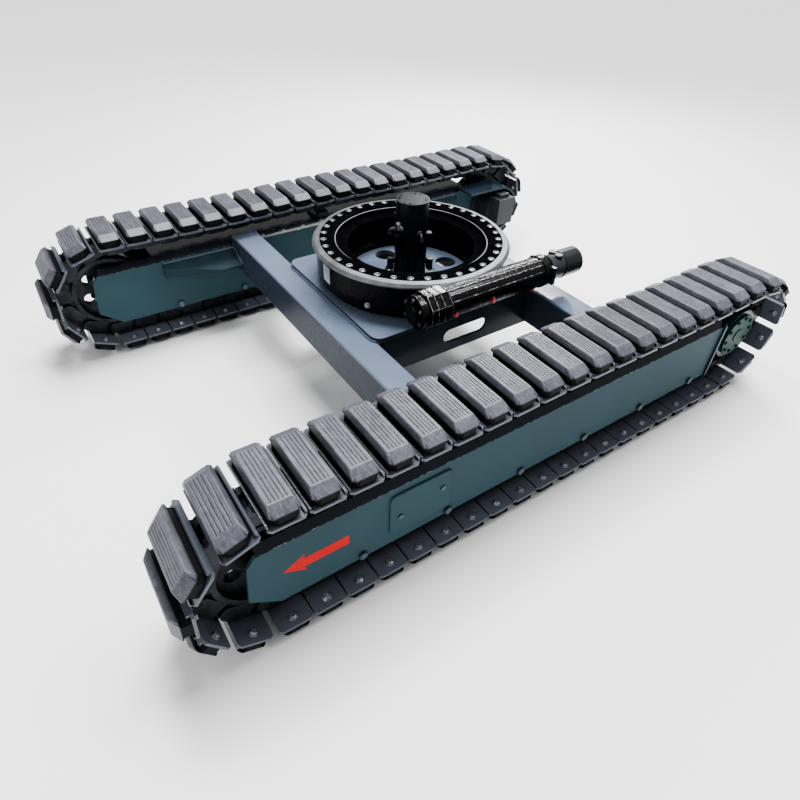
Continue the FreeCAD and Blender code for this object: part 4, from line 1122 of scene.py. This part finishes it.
def make_welds():
    """Beads round the base plate, at the side members' ends, round the beams and on the gussets."""
    bm = bmesh.new()
    low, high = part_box("base_plate")
    beam_low, beam_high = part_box("rear_crossbeam")
    member_low, member_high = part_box("side_members")
    gusset_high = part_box("beam_gussets")[1]
    root = gusset_high.z
    above, below = MEMBER_BEAD_ENDS
    for way in (-1, 1):
        shift = Vector((0, way * CORNER_GAP, PLATE_BEAD_LIFT))
        bead(bm, [p + shift for p in plate_edge_path(low, high, way)], PLATE_BEAD_R)
        for side in (-1, 1):
            x = side * (member_high.x + CORNER_GAP)
            y = way * (member_high.y - CORNER_GAP)
            bead(bm, [(x, y, member_low.z + above), (x, y, member_high.z - below)], BEAD_R)
            end = side * (beam_high.x - BEAD_GAP)
            near, far = way * (beam_low.y - BEAD_GAP), way * (beam_high.y + BEAD_GAP)
            bead(bm, beam_end_loop(end, near, far, beam_low.z - BEAD_GAP, beam_high.z + BEAD_GAP), BEAD_R)
            tip = way * (gusset_high.y - GUSSET_TIP_CUT)
            edge = end - side * GUSSET_REACH
            bead(bm, [(end, far, root), (end, tip, root)], GUSSET_BEAD_R)
            bead(bm, [(end, far, root), (edge, far, root - GUSSET_DROP)], BEAD_R)
    for side in (-1, 1):
        x, z = side * (member_high.x + BEAD_GAP), low.z - BEAD_GAP
        bead(bm, [(x, -member_high.y, z), (x, member_high.y, z)], UNDER_BEAD_R)
    finished("weld_beads", bm, "cross_paint", ROOT, angle=50.0)


# ---- recoil springs
SPRING_WIRE_R = 8.0 * MM
SPRING_TURNS = 9.5
SPRING_CLOSED_PITCH = 16.4 * MM    # of the first and the last turn
SPRING_STEPS = 32                  # points on each turn


def make_recoil_springs():
    """Coil spring with closed ends on each side."""
    for side in SIDES:
        low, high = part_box(side + "_recoil_spring")
        axis = Vector(((low.x + high.x) / 2, 0, (low.z + high.z) / 2))
        coil = (high.z - low.z) / 2 - SPRING_WIRE_R
        front = low.y + SPRING_WIRE_R
        length = high.y - low.y - 2 * SPRING_WIRE_R
        pitch = (length - 2 * SPRING_CLOSED_PITCH) / (SPRING_TURNS - 2)
        points = []
        for k in range(round(SPRING_TURNS * SPRING_STEPS) + 1):
            turns = k / SPRING_STEPS
            closed = min(turns, 1) + max(turns - SPRING_TURNS + 1, 0)
            angle = 2 * pi * turns
            y = front + closed * SPRING_CLOSED_PITCH + (turns - closed) * pitch
            points.append(axis + Vector((coil * cos(angle), y, coil * sin(angle))))
        bm = bmesh.new()
        tube_along(bm, points, SPRING_WIRE_R, 12)
        node = side + "_recoil_spring"
        made = finished(side + "_recoil_coil", bm, "chain_black", ROOT, [node], angle=50.0)
        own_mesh(made)


# ---- light, floor and camera
CAMERA_PLACE = Vector((1.6529, -1.1953, 1.4952))
CAMERA_AZIMUTH = radians(54.60)
CAMERA_ELEVATION = radians(40.52)
CAMERA_ROLL = radians(2.31)
CAMERA_LENS = 26.21
CAMERA_SENSOR = 36.0
FLOOR_HALF = 45.0
FLOOR_TONE = (0.90, 0.90, 0.90)
SKY_COLOUR = (1.0, 1.0, 1.0, 1.0)
SKY_STRENGTH = 0.55
SUN_STRENGTH = 3.0
SUN_SPREAD = radians(28)
SUN_TILT = (radians(-16), radians(-14), 0)
AREA_LIGHTS = (    # name, place, target, size, power
    ("key", (-0.9, -0.3, 4.2), (0, 0, 0.2), (0.9, 0.9), 95.0),
    ("top", (0.9, 1.9, 4.2), (0, 0, 0.2), (1.3, 1.3), 95.0),
    ("back", (-2.8, 3.2, 3.0), (0, 0.2, 0.3), (1.6, 0.4), 150.0),
    ("front", (1.4, -3.4, 2.6), (0.4, -0.4, 0.3), (1.0, 0.6), 26.0),
)


def make_camera():
    """The scene's camera, from its place, its direction and its roll."""
    a, e, c = CAMERA_AZIMUTH, CAMERA_ELEVATION, CAMERA_ROLL
    back = Vector((sin(a) * cos(e), -cos(a) * cos(e), sin(e)))
    right = outwards(a)
    up = back.cross(right)
    x_axis = right * cos(c) + up * sin(c)
    y_axis = up * cos(c) - right * sin(c)
    data = bpy.data.cameras.new("camera")
    data.lens = CAMERA_LENS
    data.sensor_width = CAMERA_SENSOR
    camera = added("camera", data)
    placed = Matrix((x_axis, y_axis, back)).transposed().to_4x4()
    placed.translation = CAMERA_PLACE
    camera.matrix_world = placed
    bpy.context.scene.camera = camera


def area_light(name, place, target, size, power):
    """A rectangular light turned to a point."""
    data = bpy.data.lights.new(name, "AREA")
    data.shape = "RECTANGLE"
    data.size, data.size_y = size
    data.energy = power
    lamp = added(name, data)
    lamp.location = place
    lamp.rotation_euler = (Vector(target) - Vector(place)).to_track_quat("-Z", "Y").to_euler()


def make_stage():
    """Pale floor, pale sky, and soft lights from above, behind and in front."""
    half = FLOOR_HALF
    mesh = bpy.data.meshes.new("floor")
    corners = [(-half, -half, 0), (half, -half, 0), (half, half, 0), (-half, half, 0)]
    mesh.from_pydata(corners, [], [(0, 1, 2, 3)])
    floor = added("floor", mesh)
    mesh.materials.append(stage_grey("floor", FLOOR_TONE))
    world = bpy.data.worlds.new("studio")
    world.use_nodes = True
    background = world.node_tree.nodes["Background"]
    background.inputs["Color"].default_value = SKY_COLOUR
    background.inputs["Strength"].default_value = SKY_STRENGTH
    bpy.context.scene.world = world
    bpy.context.scene.view_settings.look = "AgX - Medium High Contrast"
    sun = bpy.data.lights.new("overhead", "SUN")
    sun.energy = SUN_STRENGTH
    sun.angle = SUN_SPREAD
    added("overhead", sun).rotation_euler = SUN_TILT
    for light in AREA_LIGHTS:
        area_light(*light)


# ---- everything
dress_cad_nodes()
make_pads()
make_pad_bolts()
make_ring_details()
make_race_lip()
make_name_plate()
make_tube_castings()
make_tube_ridges()
make_motor_section()
make_slew_screws()
make_swivel_details()
make_arrows()
make_welds()
make_recoil_springs()
make_stage()
make_camera()
